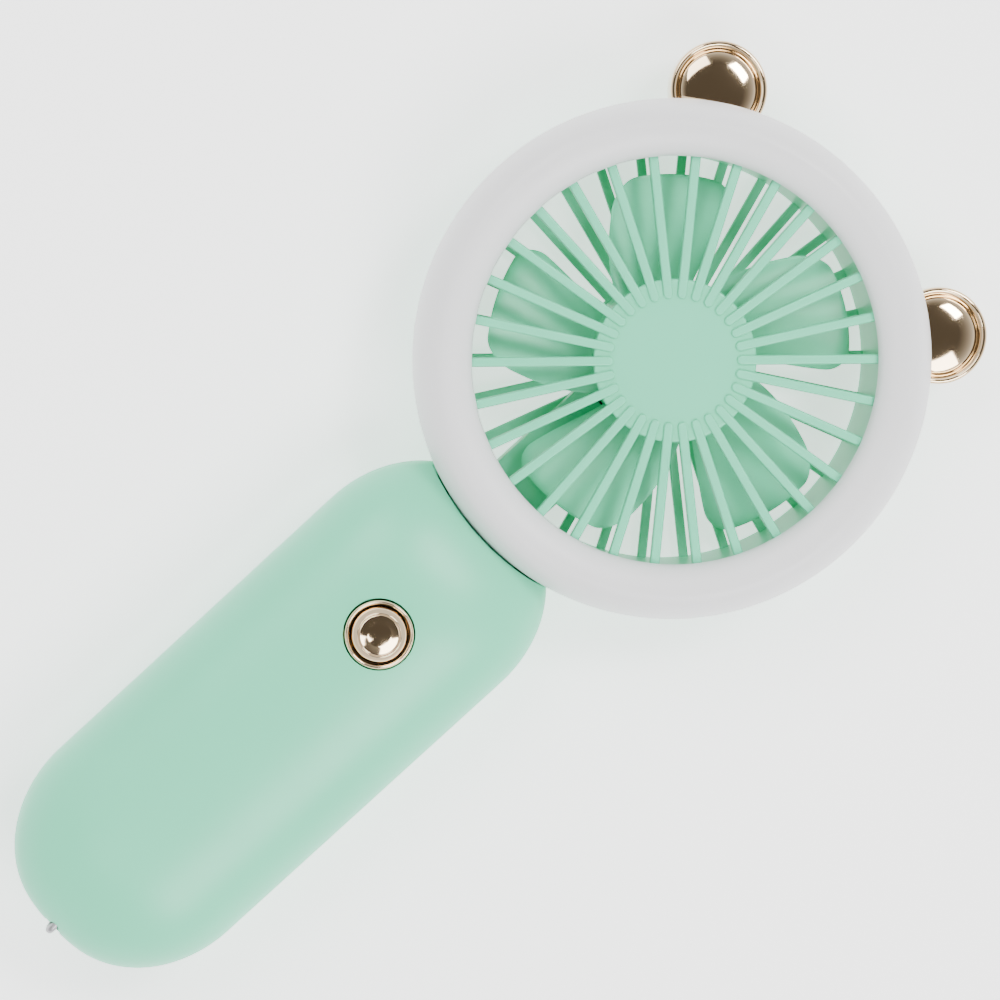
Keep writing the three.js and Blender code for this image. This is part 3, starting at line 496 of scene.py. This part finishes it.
def wire_arm(start, end):
    """The channel that carries the motor's leads from the cup to the duct wall."""
    half, inside = ARM["half"], ARM["half"] - ARM["wall"]
    back, floor, front = ARM["back"], ARM["floor"], ARM["front"]
    return pulled([
        (-half, back), (half, back), (half, front), (inside, front),
        (inside, floor), (-inside, floor), (-inside, front), (-half, front),
    ], start, end)


def wire_slot(y0, y1):
    """A cutter for the way through a wall that the arm meets."""
    half = WIRE_SLOT_HALF
    return block((-half, y0, ARM["floor"]), (half, y1, ARM["front"]))


def rear_shell():
    """The drum with its rear grille, motor cup, wire arm and neck."""
    piece = drum()
    rib = radial_rib(HUB_R - 2 * SINK, DUCT_R + SINK, REAR_RIB["back"], REAR_RIB["front"])
    fuse(piece, merged(*spaced_ribs(rib, RIBS_IN_ARM)))
    fuse(piece, disc(HUB_R, 0, REAR_HUB["front"], REAR_HUB["edge"]))
    off_corner = math.pi / 144  # half a facet, so that no edge of the cup meets one of the disc
    fuse(piece, moved(pipe(CUP["inner"], CUP["outer"], CUP["back"], CUP["front"]), turn=off_corner))
    fuse(piece, wire_arm(-DUCT_R - SINK, -CUP["inner"] - SINK))
    half, back, front = NECK["half"], NECK["back"], NECK["front"]
    fuse(piece, block((-half, NECK_BOTTOM, back), (half, SINK - DRUM_R, front), NECK["edge"]))
    carve(piece, wire_slot(-CUP["outer"] - PAST, PAST - CUP["inner"]))
    carve(piece, wire_slot(-DUCT_R - 2 * PAST, PAST - DUCT_R))
    duct = NECK_DUCT
    duct_low = (-duct["half"], NECK_BOTTOM - PAST, duct["back"])
    carve(piece, block(duct_low, (duct["half"], 2 * PAST - DRUM_R, duct["front"])))
    hole = disc(SCREW["bore_r"] + NECK["hole_play"], back - PAST, front + PAST, 0, 48)
    carve(piece, merged(*[moved(hole, x, y) for x, y, _, _ in CASE_SCREWS if y > NECK_BOTTOM]))
    return finish_piece(piece, "mint_plastic", "body", "rear_shell")


def ear(name, turn):
    """A dished disc with a rolled rim, cut to the drum, with the tab that holds it."""
    node = f"ear_{name}"
    low, high = span(node)
    middle = (low.z + high.z) / 2
    half_t = (high.z - low.z) / 2
    r, rim, shoulder = EAR["r"], EAR["rim"], EAR["shoulder"]
    bowl_r, bowl_z, depth = r - EAR_BOWL["inset"], half_t - EAR_BOWL["drop"], EAR_BOWL["depth"]
    base = [(r - EAR["base_inset"], -half_t), (r - shoulder, -half_t), (r, -half_t + shoulder)]
    profile = [
        (0, -half_t),
        *softened(base, EAR["base_edge"], closed=False, steps=6),
        (r, half_t - rim),
        *arc((r - rim, half_t - rim), (rim, rim), 0, 120, 16),
        (bowl_r, bowl_z),
        *arc((0, bowl_z), (bowl_r - 0.1, depth), 4, 90, 32)[:-1],
        (0, bowl_z + depth),
    ]
    piece = add_object(f"{node}_plated", turned(profile, 160))
    carve(piece, moved(disc(DRUM_R + GAP, -BEYOND, BEYOND, 0, WIDE), y=-EAR_REACH))
    inside = DRUM_R - DRUM_WALL - EAR_REACH - GAP  # just inside the drum's wall
    stem, flange = EAR_STEM, EAR_FLANGE
    stem_low = (-stem["half"], inside - stem["overlap"], -stem["half_t"])
    fuse(piece, block(stem_low, (stem["half"], stem["top"], stem["half_t"]), MOULDED_EDGE))
    flange_low = (-flange["half"], inside - flange["thick"], -flange["half_t"])
    fuse(piece, block(flange_low, (flange["half"], inside, flange["half_t"]), MOULDED_EDGE))
    place = Matrix.Rotation(turn, 4, "Z") @ Matrix.Translation((0, EAR_REACH * MM, middle * MM))
    piece.data.transform(place)
    return finish_piece(piece, "gold_plating", "body", node)


# ---- Impeller ----

HUB = {
    "outer": 13.9, "inner": 12.9, "back": 9.9, "face": 19.8, "front": span("impeller")[1].z,
    "shoulder": 1.2, "boss": 3.2, "boss_back": 17.0, "bore": 1.3, "edge": 0.3,
}
BLADE = {
    "count": 5, "tip_angle": 63.6, "root_lead": 15.0, "root_span": 62.0, "tip_span": 39.0,
    "root_height": 7.4, "tip_height": 5.4, "middle": 13.8, "camber": 0.5, "thickness": 1.0,
    "corner": 4.5, "tip_r": 32.8, "root_sink": 0.5, "sections": 44, "skin_points": 26,
}
CORNER_PULL = 0.85  # how much of the tip's corner is taken off each end of the chord
LEAD_POWER = 1.4  # how the blade's sweep fades from root to tip


def blade():
    """One blade, as a loft of chordwise sections from the hub to the tip."""
    along, across = BLADE["sections"], BLADE["skin_points"]
    root_r, tip_r, corner_r = HUB["outer"] - BLADE["root_sink"], BLADE["tip_r"], BLADE["corner"]
    loops = []
    for j in range(along + 1):
        v = math.sin(j / along * math.pi / 2)
        r = root_r + (tip_r - root_r) * v
        into_corner = max(0.0, r - (tip_r - corner_r))
        corner = corner_r - math.sqrt(max(0.0, corner_r ** 2 - into_corner ** 2))
        width = BLADE["root_span"] + (BLADE["tip_span"] - BLADE["root_span"]) * v
        half = math.radians(width / 2) - CORNER_PULL * corner / r
        middle = math.radians(BLADE["tip_angle"] + BLADE["root_lead"] * (1 - v) ** LEAD_POWER)
        height = BLADE["root_height"] + (BLADE["tip_height"] - BLADE["root_height"]) * v
        tip = math.sqrt(max(0.04, 1 - v ** 40))  # full thickness, apart from a rounding at the tip
        skins = []
        for side in (1, -1):
            skin = []
            for i in range(across):
                u = -math.cos(math.pi * i / (across - 1))
                fullness = tip * math.sqrt(max(0.01, 1 - u ** 4))
                lift = u * height / 2 + BLADE["camber"] * (1 - u * u)
                angle = middle + u * half
                z = BLADE["middle"] + lift + side * BLADE["thickness"] * fullness / 2
                skin.append((r * math.cos(angle), r * math.sin(angle), z))
            skins.append(skin)
        loops.append([*skins[0], *reversed(skins[1])])
    points, faces = lofted(loops)
    faces = faces[2:]  # the ends are curved, so they are closed by strips between the two skins
    for first in (0, along * 2 * across):
        for i in range(across - 1):
            upper, lower = first + i, first + 2 * across - 1 - i
            faces.append([upper, upper + 1, lower - 1, lower])
    return points, faces


def impeller():
    """The hub, open to the back, with its blades."""
    hub = turned(softened([
        (HUB["bore"], HUB["boss_back"]),
        (HUB["boss"], HUB["boss_back"]),
        (HUB["boss"], HUB["face"]),
        (HUB["inner"], HUB["face"]),
        (HUB["inner"], HUB["back"]),
        (HUB["outer"], HUB["back"]),
        (HUB["outer"], HUB["face"]),
        (HUB["outer"] - HUB["shoulder"], HUB["front"]),
        (HUB["bore"], HUB["front"]),
    ], HUB["edge"]))
    pitch = 2 * math.pi / BLADE["count"]
    blades = [moved(blade(), turn=i * pitch) for i in range(BLADE["count"])]
    piece = fuse(add_object("fan_wheel", hub), merged(*blades))
    return finish_piece(piece, "mint_plastic", "rotor", "impeller")


# ---- Handle ----

HANDLE = {
    "top": -38.9, "bottom": -148.7, "top_half": 22.45, "bottom_half": 22.05, "end_half": 3.75,
    "end_length": 21.9, "thick": 13.75, "side_top": -41.0, "side_top_length": 26.0,
    "side_bottom_length": 20.0, "end_thick": 3.0, "power": 2.4, "wall": 1.8,
}
BAR = {"start": 0.5, "hollow_start": 2.2, "end_wall": 0.6, "rounding": 24.0, "near": 30, "between": 14}
MID_Z = HANDLE["thick"]
SEAM = GAP / 2
OVER_HEAD = 60.0  # a height above everything on the head
HALF_SIDE = 3.75  # degrees; turns a bore so that its corners miss those of the post
CASE_BORE_START = 10.0
BUTTON_Y = -70.6
BEZEL_R = 6.05
BEZEL = {"inner": 5.35, "flange_r": 6.9, "flange": 0.4, "edge": 0.15}
PORT_LOW, PORT_HIGH = span("charge_port")
PORT = {"wall": 0.4, "corner": 1.3}
LANYARD = {"r": 0.7, "low": 15.4, "high": 19.4, "inner": -145.3, "bend": 0.8}
LANYARD_POCKET = {"half": 1.9, "inset": 0.5, "inner": -146.9}
ANCHOR = {"half": 3.4, "front": -144.6, "top": 21.2}


def round_off(distance, length):
    """0 at the end of a rounding, 1 where it is finished."""
    t = max(0.0, min(1.0, distance / length))
    return math.sqrt(1 - (1 - t) ** 2)


def half_width(y):
    """Half the handle's width at a place along it."""
    h = HANDLE
    share = (y - h["top"]) / (h["bottom"] - h["top"])
    full = h["top_half"] + (h["bottom_half"] - h["top_half"]) * share
    ends = min(round_off(h["top"] - y, h["end_length"]), round_off(y - h["bottom"], h["end_length"]))
    return h["end_half"] + (full - h["end_half"]) * ends


def half_thickness(y):
    """Half the handle's thickness at a place along it."""
    h = HANDLE
    top = h["thick"] * round_off(h["side_top"] - y, h["side_top_length"])
    rise = round_off(y - h["bottom"], h["side_bottom_length"])
    return min(top, h["end_thick"] + (h["thick"] - h["end_thick"]) * rise)


def bar_stations(start, end):
    """Places along the handle, close together in the roundings at both ends."""
    rounding, steps, count = BAR["rounding"], BAR["near"], BAR["between"]
    near = [rounding * (1 - math.cos(math.pi / 2 * i / steps)) for i in range(steps + 1)]
    between = [end + rounding + (start - end - 2 * rounding) * i / count for i in range(1, count)]
    return [*[end + d for d in near], *between, *[start - d for d in reversed(near)]]


def bar(inset, side=0, sides=96):
    """The handle's body, drawn in by inset. side 1 or -1 keeps the half above or below the seam."""
    h = HANDLE
    start = h["side_top"] - (BAR["hollow_start"] if inset else BAR["start"])
    end = h["bottom"] + (inset + BAR["end_wall"] if inset else 0)
    loops = []
    for y in bar_stations(start, end):
        width, thick = half_width(y) - inset, half_thickness(y) - inset
        first = math.asin(min(0.9, (SEAM / thick) ** (h["power"] / 2))) if side else 0.0
        count = sides // 2 if side else sides - 1
        last = math.pi - first if side else 2 * math.pi * (sides - 1) / sides
        loop = []
        for i in range(count + 1):
            t = first + (last - first) * i / count
            c, s = math.cos(t), math.sin(t)
            x = width * math.copysign(abs(c) ** (2 / h["power"]), c)
            z = thick * math.copysign(abs(s) ** (2 / h["power"]), s)
            loop.append((x, y, MID_Z + (side or 1) * z))
        loops.append(loop)
    return lofted(loops)


def head_room():
    """The space that the head takes out of the top of the handle."""
    step = RING_LOW.z - GAP
    drum_r, ring_r = DRUM_R + GAP, RING_R + GAP
    outline = [(drum_r, -PAST), (drum_r, step), (ring_r, step), (ring_r, OVER_HEAD)]
    return turned([(0, -PAST), *outline, (0, OVER_HEAD)], WIDE)


def neck_room():
    """The space that the neck takes out of the handle."""
    half = NECK["half"] + GAP
    return block((-half, NECK_BOTTOM - GAP, NECK["back"] - GAP), (half, PAST - DRUM_R, NECK["front"] + GAP))


def along_y(x, z, radius, y0, y1):
    """A round hole along the Y axis."""
    points, faces = disc(radius, y0, y1, 0, 32)
    return [(x + px, pz, z + py) for px, py, pz in points], faces


def post_gap(y):
    """Heights between which a screw's two posts leave room: for the neck, or only for the seam."""
    if y > NECK_BOTTOM:
        return NECK["back"] - GAP, NECK["front"] + GAP
    return MID_Z - SEAM, MID_Z + SEAM


def rods(places, radius, turn=0.0, sides=48):
    """Round rods from (x, y, low, high)."""
    around = arc((0, 0), (radius, radius), turn, turn + 360 * (sides - 1) / sides, sides - 1)
    return merged(*[moved(prism(around, low, high), x, y) for x, y, low, high in places])


def inside_wall(shape):
    """The shape cut off in the middle of the handle's wall."""
    return combine(add_object("inside", shape), add_object("limit", bar(HANDLE["wall"] / 2)), "INTERSECT")


def handle_front():
    """The half with the button, the screw posts and the lanyard's anchor."""
    piece = carve(add_object("handle_top_half", bar(0, 1)), bar(HANDLE["wall"]))
    crown = 2 * MID_Z
    posts = [(x, y, post_gap(y)[1], crown) for x, y, _, _ in CASE_SCREWS]
    combine(piece, inside_wall(rods(posts, SCREW["post_r"])), "UNION")
    board_top = span("main_board")[1].z
    board_posts = [(x, y, board_top + GAP, crown) for x, y, _, _ in BOARD_SCREWS]
    combine(piece, inside_wall(rods(board_posts, BOARD_SCREW["post_r"])), "UNION")
    anchor_low = (-ANCHOR["half"], HANDLE["bottom"] - PAST, MID_Z + SEAM)
    anchor = block(anchor_low, (ANCHOR["half"], ANCHOR["front"], ANCHOR["top"]))
    combine(piece, inside_wall(anchor), "UNION")
    carve(piece, head_room())
    carve(piece, neck_room())
    carve(piece, moved(disc(BEZEL_R + GAP, MID_Z, BEYOND, 0, 96), y=BUTTON_Y))
    case_bores = [(x, y, CASE_BORE_START, tip + GAP) for x, y, _, tip in CASE_SCREWS]
    carve(piece, rods(case_bores, SCREW["bore_r"], HALF_SIDE))
    board_bores = [(x, y, MID_Z, BOARD_SCREW["bore_top"]) for x, y, _, _ in BOARD_SCREWS]
    carve(piece, rods(board_bores, BOARD_SCREW["r"] + GAP, HALF_SIDE))
    half, inset = LANYARD_POCKET["half"], LANYARD_POCKET["inset"]
    pocket_low = (-half, -BEYOND, LANYARD["low"] + inset)
    carve(piece, block(pocket_low, (half, LANYARD_POCKET["inner"], LANYARD["high"] - inset)))
    start, end = HANDLE["bottom"] - 6 * PAST, LANYARD["inner"] + GAP
    for z in (LANYARD["low"], LANYARD["high"]):
        carve(piece, along_y(0, z, LANYARD["r"] + GAP, start, end))
    return finish_piece(piece, "mint_plastic", "body", "handle_front")


def handle_back():
    """The half with the screw heads and the opening for the port."""
    piece = carve(add_object("handle_bottom_half", bar(0, -1)), bar(HANDLE["wall"]))
    posts = [(x, y, 0, post_gap(y)[0]) for x, y, _, _ in CASE_SCREWS]
    combine(piece, inside_wall(rods(posts, SCREW["post_r"] + SCREW["foot_extra"])), "UNION")
    carve(piece, head_room())
    carve(piece, neck_room())
    bores = [(x, y, -PAST, MID_Z) for x, y, _, _ in CASE_SCREWS]
    carve(piece, rods(bores, SCREW["bore_r"], HALF_SIDE))
    seats = [(x, y, -PAST, head + SCREW["head_t"] + GAP) for x, y, head, _ in CASE_SCREWS]
    carve(piece, rods(seats, SCREW["sink_r"], HALF_SIDE))
    port_low = (PORT_LOW.x - GAP, -BEYOND, PORT_LOW.z - GAP)
    carve(piece, block(port_low, (PORT_HIGH.x + GAP, PORT_HIGH.y, PORT_HIGH.z + GAP)))
    return finish_piece(piece, "mint_plastic", "body", "handle_back")


def button_bezel():
    """A ring with a flange inside the handle and a slope down to the button."""
    low, high = span("button_bezel")
    inner, flange_r, flange_z = BEZEL["inner"], BEZEL["flange_r"], low.z + BEZEL["flange"]
    shape = turned(softened([
        (inner, low.z),
        (flange_r, low.z),
        (flange_r, flange_z),
        (BEZEL_R, flange_z),
        (BEZEL_R, high.z - 0.25),
        (BEZEL_R - 0.3, high.z),
        (inner, high.z - 0.2),
    ], BEZEL["edge"]), 128)
    piece = add_object("bezel", moved(shape, y=BUTTON_Y))
    return finish_piece(piece, "gold_plating", "body", "button_bezel")


def power_button():
    """A cap on a stem over the switch, with a flange, a sloping edge, a groove and a crowned centre."""
    low, high = span("power_button")
    top = high.z - 0.15
    stem_r, skirt_r, flange_r, cap_r = 1.5, 4.2, 6.2, 5.05
    stem_z, roof_z, flange_z = span("switch_plunger")[1].z + GAP, 27.4, low.z + 0.8
    shape = turned([
        (0, stem_z),
        *softened([
            (0.5, stem_z),
            (stem_r, stem_z),
            (stem_r, roof_z),
            (skirt_r, roof_z),
            (skirt_r, low.z),
            (flange_r, low.z),
            (flange_r, flange_z),
            (cap_r, flange_z),
            (cap_r, top - 1.3),
            (4.65, top - 0.6),
            (3.8, top),
            (3.5, top - 0.4),
            (2.0, top - 0.05),
            (0.6, top + 0.12),
        ], 0.18, closed=False, steps=5),
        (0, high.z),
    ], 128)
    piece = add_object("button_cap", moved(shape, y=BUTTON_Y))
    return finish_piece(piece, "gold_plating", "button", "power_button")


def screw(name, size, x, y, head, tip):
    """A pan-head screw pointing up, with a cross recess in its head."""
    head_r, head_t, r = size["head_r"], size["head_t"], size["r"]
    length = tip - head
    edge, point, slot_half, slot_depth = 0.4, 0.8, 0.2, 0.4
    pan = [(head_r - edge, 0), (head_r, edge), (head_r, head_t), (r, head_t)]
    shape = turned([(0, 0), *softened(pan, 0.15, closed=False), (r, length - point), (0, length)], 64)
    piece = add_object(f"{name}_fine", shape)
    recess = block((-0.6 * head_r, -slot_half, -PAST), (0.6 * head_r, slot_half, slot_depth))
    carve(piece, recess)
    carve(piece, moved(recess, turn=math.pi / 2))
    piece.data.transform(Matrix.Translation(Vector((x, y, head)) * MM))
    return finish_piece(piece, "dark_steel", "body", name)


def screws():
    for i, place in enumerate(CASE_SCREWS):
        screw(f"case_screw_{i + 1}", SCREW, *place)
    for i, place in enumerate(BOARD_SCREWS):
        screw(f"board_screw_{i + 1}", BOARD_SCREW, *place)


def charge_port():
    """A pressed sleeve with rounded corners and an open mouth."""
    low, high, wall = PORT_LOW, PORT_HIGH, PORT["wall"]

    def outline(inset):
        corners = [
            (low.x + inset, low.z + inset), (high.x - inset, low.z + inset),
            (high.x - inset, high.z - inset), (low.x + inset, high.z - inset),
        ]
        return softened(corners, PORT["corner"] - inset, steps=8)

    piece = add_object("port_sleeve", pulled(outline(0), low.y, high.y))
    carve(piece, pulled(outline(wall), low.y - PAST, high.y - wall))
    return finish_piece(piece, "bright_steel", "body", "charge_port")


def lanyard_bar():
    """A bent wire whose two legs go into the end of the handle."""
    low, high = span("lanyard_bar")
    r, bend = LANYARD["r"], LANYARD["bend"]
    y = low.y + r
    corner_low = arc((y + bend, LANYARD["low"] + bend), (bend, bend), 270, 180, 10)
    corner_high = arc((y + bend, LANYARD["high"] - bend), (bend, bend), 180, 90, 10)
    path = [(high.y, LANYARD["low"]), *corner_low, *corner_high, (high.y, LANYARD["high"])]
    piece = add_object("lanyard_loop", swept(path, r))
    return finish_piece(piece, "loop_metal", "body", "lanyard_bar")


# ---- CAD nodes that stay as they are ----

CARRIED_BEVELS = {
    "wire_cover": 0.2, "controller_chip": 0.1, "boost_inductor": 0.2, "main_board": 0.08,
    "charge_board": 0.08, "port_tongue": 0.1, "switch_body": 0.1, "switch_plunger": 0.15,
    "motor_case": 0.2, "motor_end_cap": 0.1, "magnet_left": 0.15, "magnet_right": 0.15,
    "rotor_coil_1": 0.2, "rotor_coil_2": 0.2, "rotor_coil_3": 0.2,
    "battery_cell_left": 0.5, "battery_cell_right": 0.5,
}


def dress_carried_nodes():
    """Gives each CAD node that still shows its material, and rounds the edges of some."""
    slots = {part["node"]: part["material_slot"] for part in frame["record"]["subparts"]}
    for name, node in frame["nodes"].items():
        if node.hide_render:
            continue
        node.data.materials.clear()
        node.data.materials.append(MATERIALS[slots[name]])
        weld = node.modifiers.new("weld", "WELD")
        weld.merge_threshold = 0.001 * MM
        if name in CARRIED_BEVELS:
            bevel = node.modifiers.new("edges", "BEVEL")
            bevel.width = CARRIED_BEVELS[name] * MM
            bevel.segments = 3
            bevel.angle_limit = BEVELLED


# ---- Stage ----

FLOOR_DROP = 0.0002  # metres below the lowest point, so that the two surfaces never meet
FLOOR_HALF = 4000.0
FLOOR_GLOW = 1.3  # keeps the gaps in the grille pale
WORLD_STRENGTH = 3.2
WORLD_TONES = [  # by the sine of the height above the horizon
    (0.10, (1.0, 1.0, 1.0)), (0.26, (0.42, 0.42, 0.42)),
    (0.60, (0.40, 0.40, 0.40)), (0.92, (0.040, 0.036, 0.032)),
]
LIGHTS = {  # place and size in metres, then watts
    "key": ((0.60, -0.15, 0.95), (0.55, 0.50), 11.0),
    "fill": ((-0.60, 0.15, 0.95), (0.50, 0.50), 6.0),
    "crown": ((0.03, 0.50, 0.86), (0.26, 0.20), 6.0),
    "foot": ((-0.05, -0.40, 0.95), (0.20, 0.16), 1.2),
}


def add_floor():
    floor = add_object("floor", block((-FLOOR_HALF, -FLOOR_HALF, -1), (FLOOR_HALF, FLOOR_HALF, 0)))
    floor.location.z = cad_low.z - FLOOR_DROP
    glow = {"Emission Color": (1, 1, 1, 1), "Emission Strength": FLOOR_GLOW}
    material, shader = new_material("pale_floor", 0.8, **glow)
    vary_colour(material.node_tree, shader, (0.86, 0.86, 0.86), (0.85, 0.85, 0.85), 60.0)
    floor.data.materials.append(material)


def add_light(name, place, size, watts):
    """A soft rectangular light that faces the middle of the fan."""
    data = bpy.data.lights.new(name, "AREA")
    data.shape = "RECTANGLE"
    data.size, data.size_y = size
    data.energy = watts
    light = bpy.data.objects.new(name, data)
    bpy.context.scene.collection.objects.link(light)
    light.location = place
    light.rotation_mode = "QUATERNION"
    middle = (cad_low + cad_high) / 2
    light.rotation_quaternion = (middle - Vector(place)).to_track_quat("-Z", "Y")


def add_world():
    """A pale room, brightest at the horizon, with a dim ceiling that the plated pieces reflect."""
    world = bpy.data.worlds.new("studio")
    world.use_nodes = True
    tree = world.node_tree
    place = tree.nodes.new("ShaderNodeTexCoord")
    split = tree.nodes.new("ShaderNodeSeparateXYZ")
    tones = tree.nodes.new("ShaderNodeValToRGB")
    stops = tones.color_ramp.elements
    while len(stops) < len(WORLD_TONES):
        stops.new(1.0)
    for stop, (height, colour) in zip(stops, WORLD_TONES):
        stop.position = height
        stop.color = (*colour, 1)
    background = tree.nodes["Background"]
    background.inputs["Strength"].default_value = WORLD_STRENGTH
    tree.links.new(place.outputs["Generated"], split.inputs["Vector"])
    tree.links.new(split.outputs["Z"], tones.inputs["Fac"])
    tree.links.new(tones.outputs["Color"], background.inputs["Color"])
    bpy.context.scene.world = world


# ---- Camera ----

AIM = (-2.8, -39.2, 24.4)
CAMERA_DISTANCE = 657.0
CAMERA_YAW = math.radians(5.5)  # the camera leans this far towards -X
UP_ANGLE = math.radians(42.6)  # from the picture's right to the fan's +Y
LENS = 135.0
SENSOR = 36.0


def add_camera():
    data = bpy.data.cameras.new("camera")
    data.lens = LENS
    data.sensor_width = SENSOR
    camera = bpy.data.objects.new("camera", data)
    bpy.context.scene.collection.objects.link(camera)
    back = Vector((-math.sin(CAMERA_YAW), 0, math.cos(CAMERA_YAW)))
    right = Vector((math.sin(UP_ANGLE), math.cos(UP_ANGLE), 0))
    right = (right - right.dot(back) * back).normalized()
    up = back.cross(right)
    turn = Matrix((right, up, back)).transposed()
    camera.matrix_world = Matrix.Translation((Vector(AIM) + back * CAMERA_DISTANCE) * MM) @ turn.to_4x4()
    bpy.context.scene.camera = camera


add_camera()
front_ring()
front_grille()
rear_shell()
ear("left", EAR_ANGLE)
ear("right", -EAR_ANGLE)
impeller()
handle_front()
handle_back()
button_bezel()
power_button()
screws()
charge_port()
lanyard_bar()
dress_carried_nodes()
add_floor()
for name, light in LIGHTS.items():
    add_light(name, *light)
add_world()
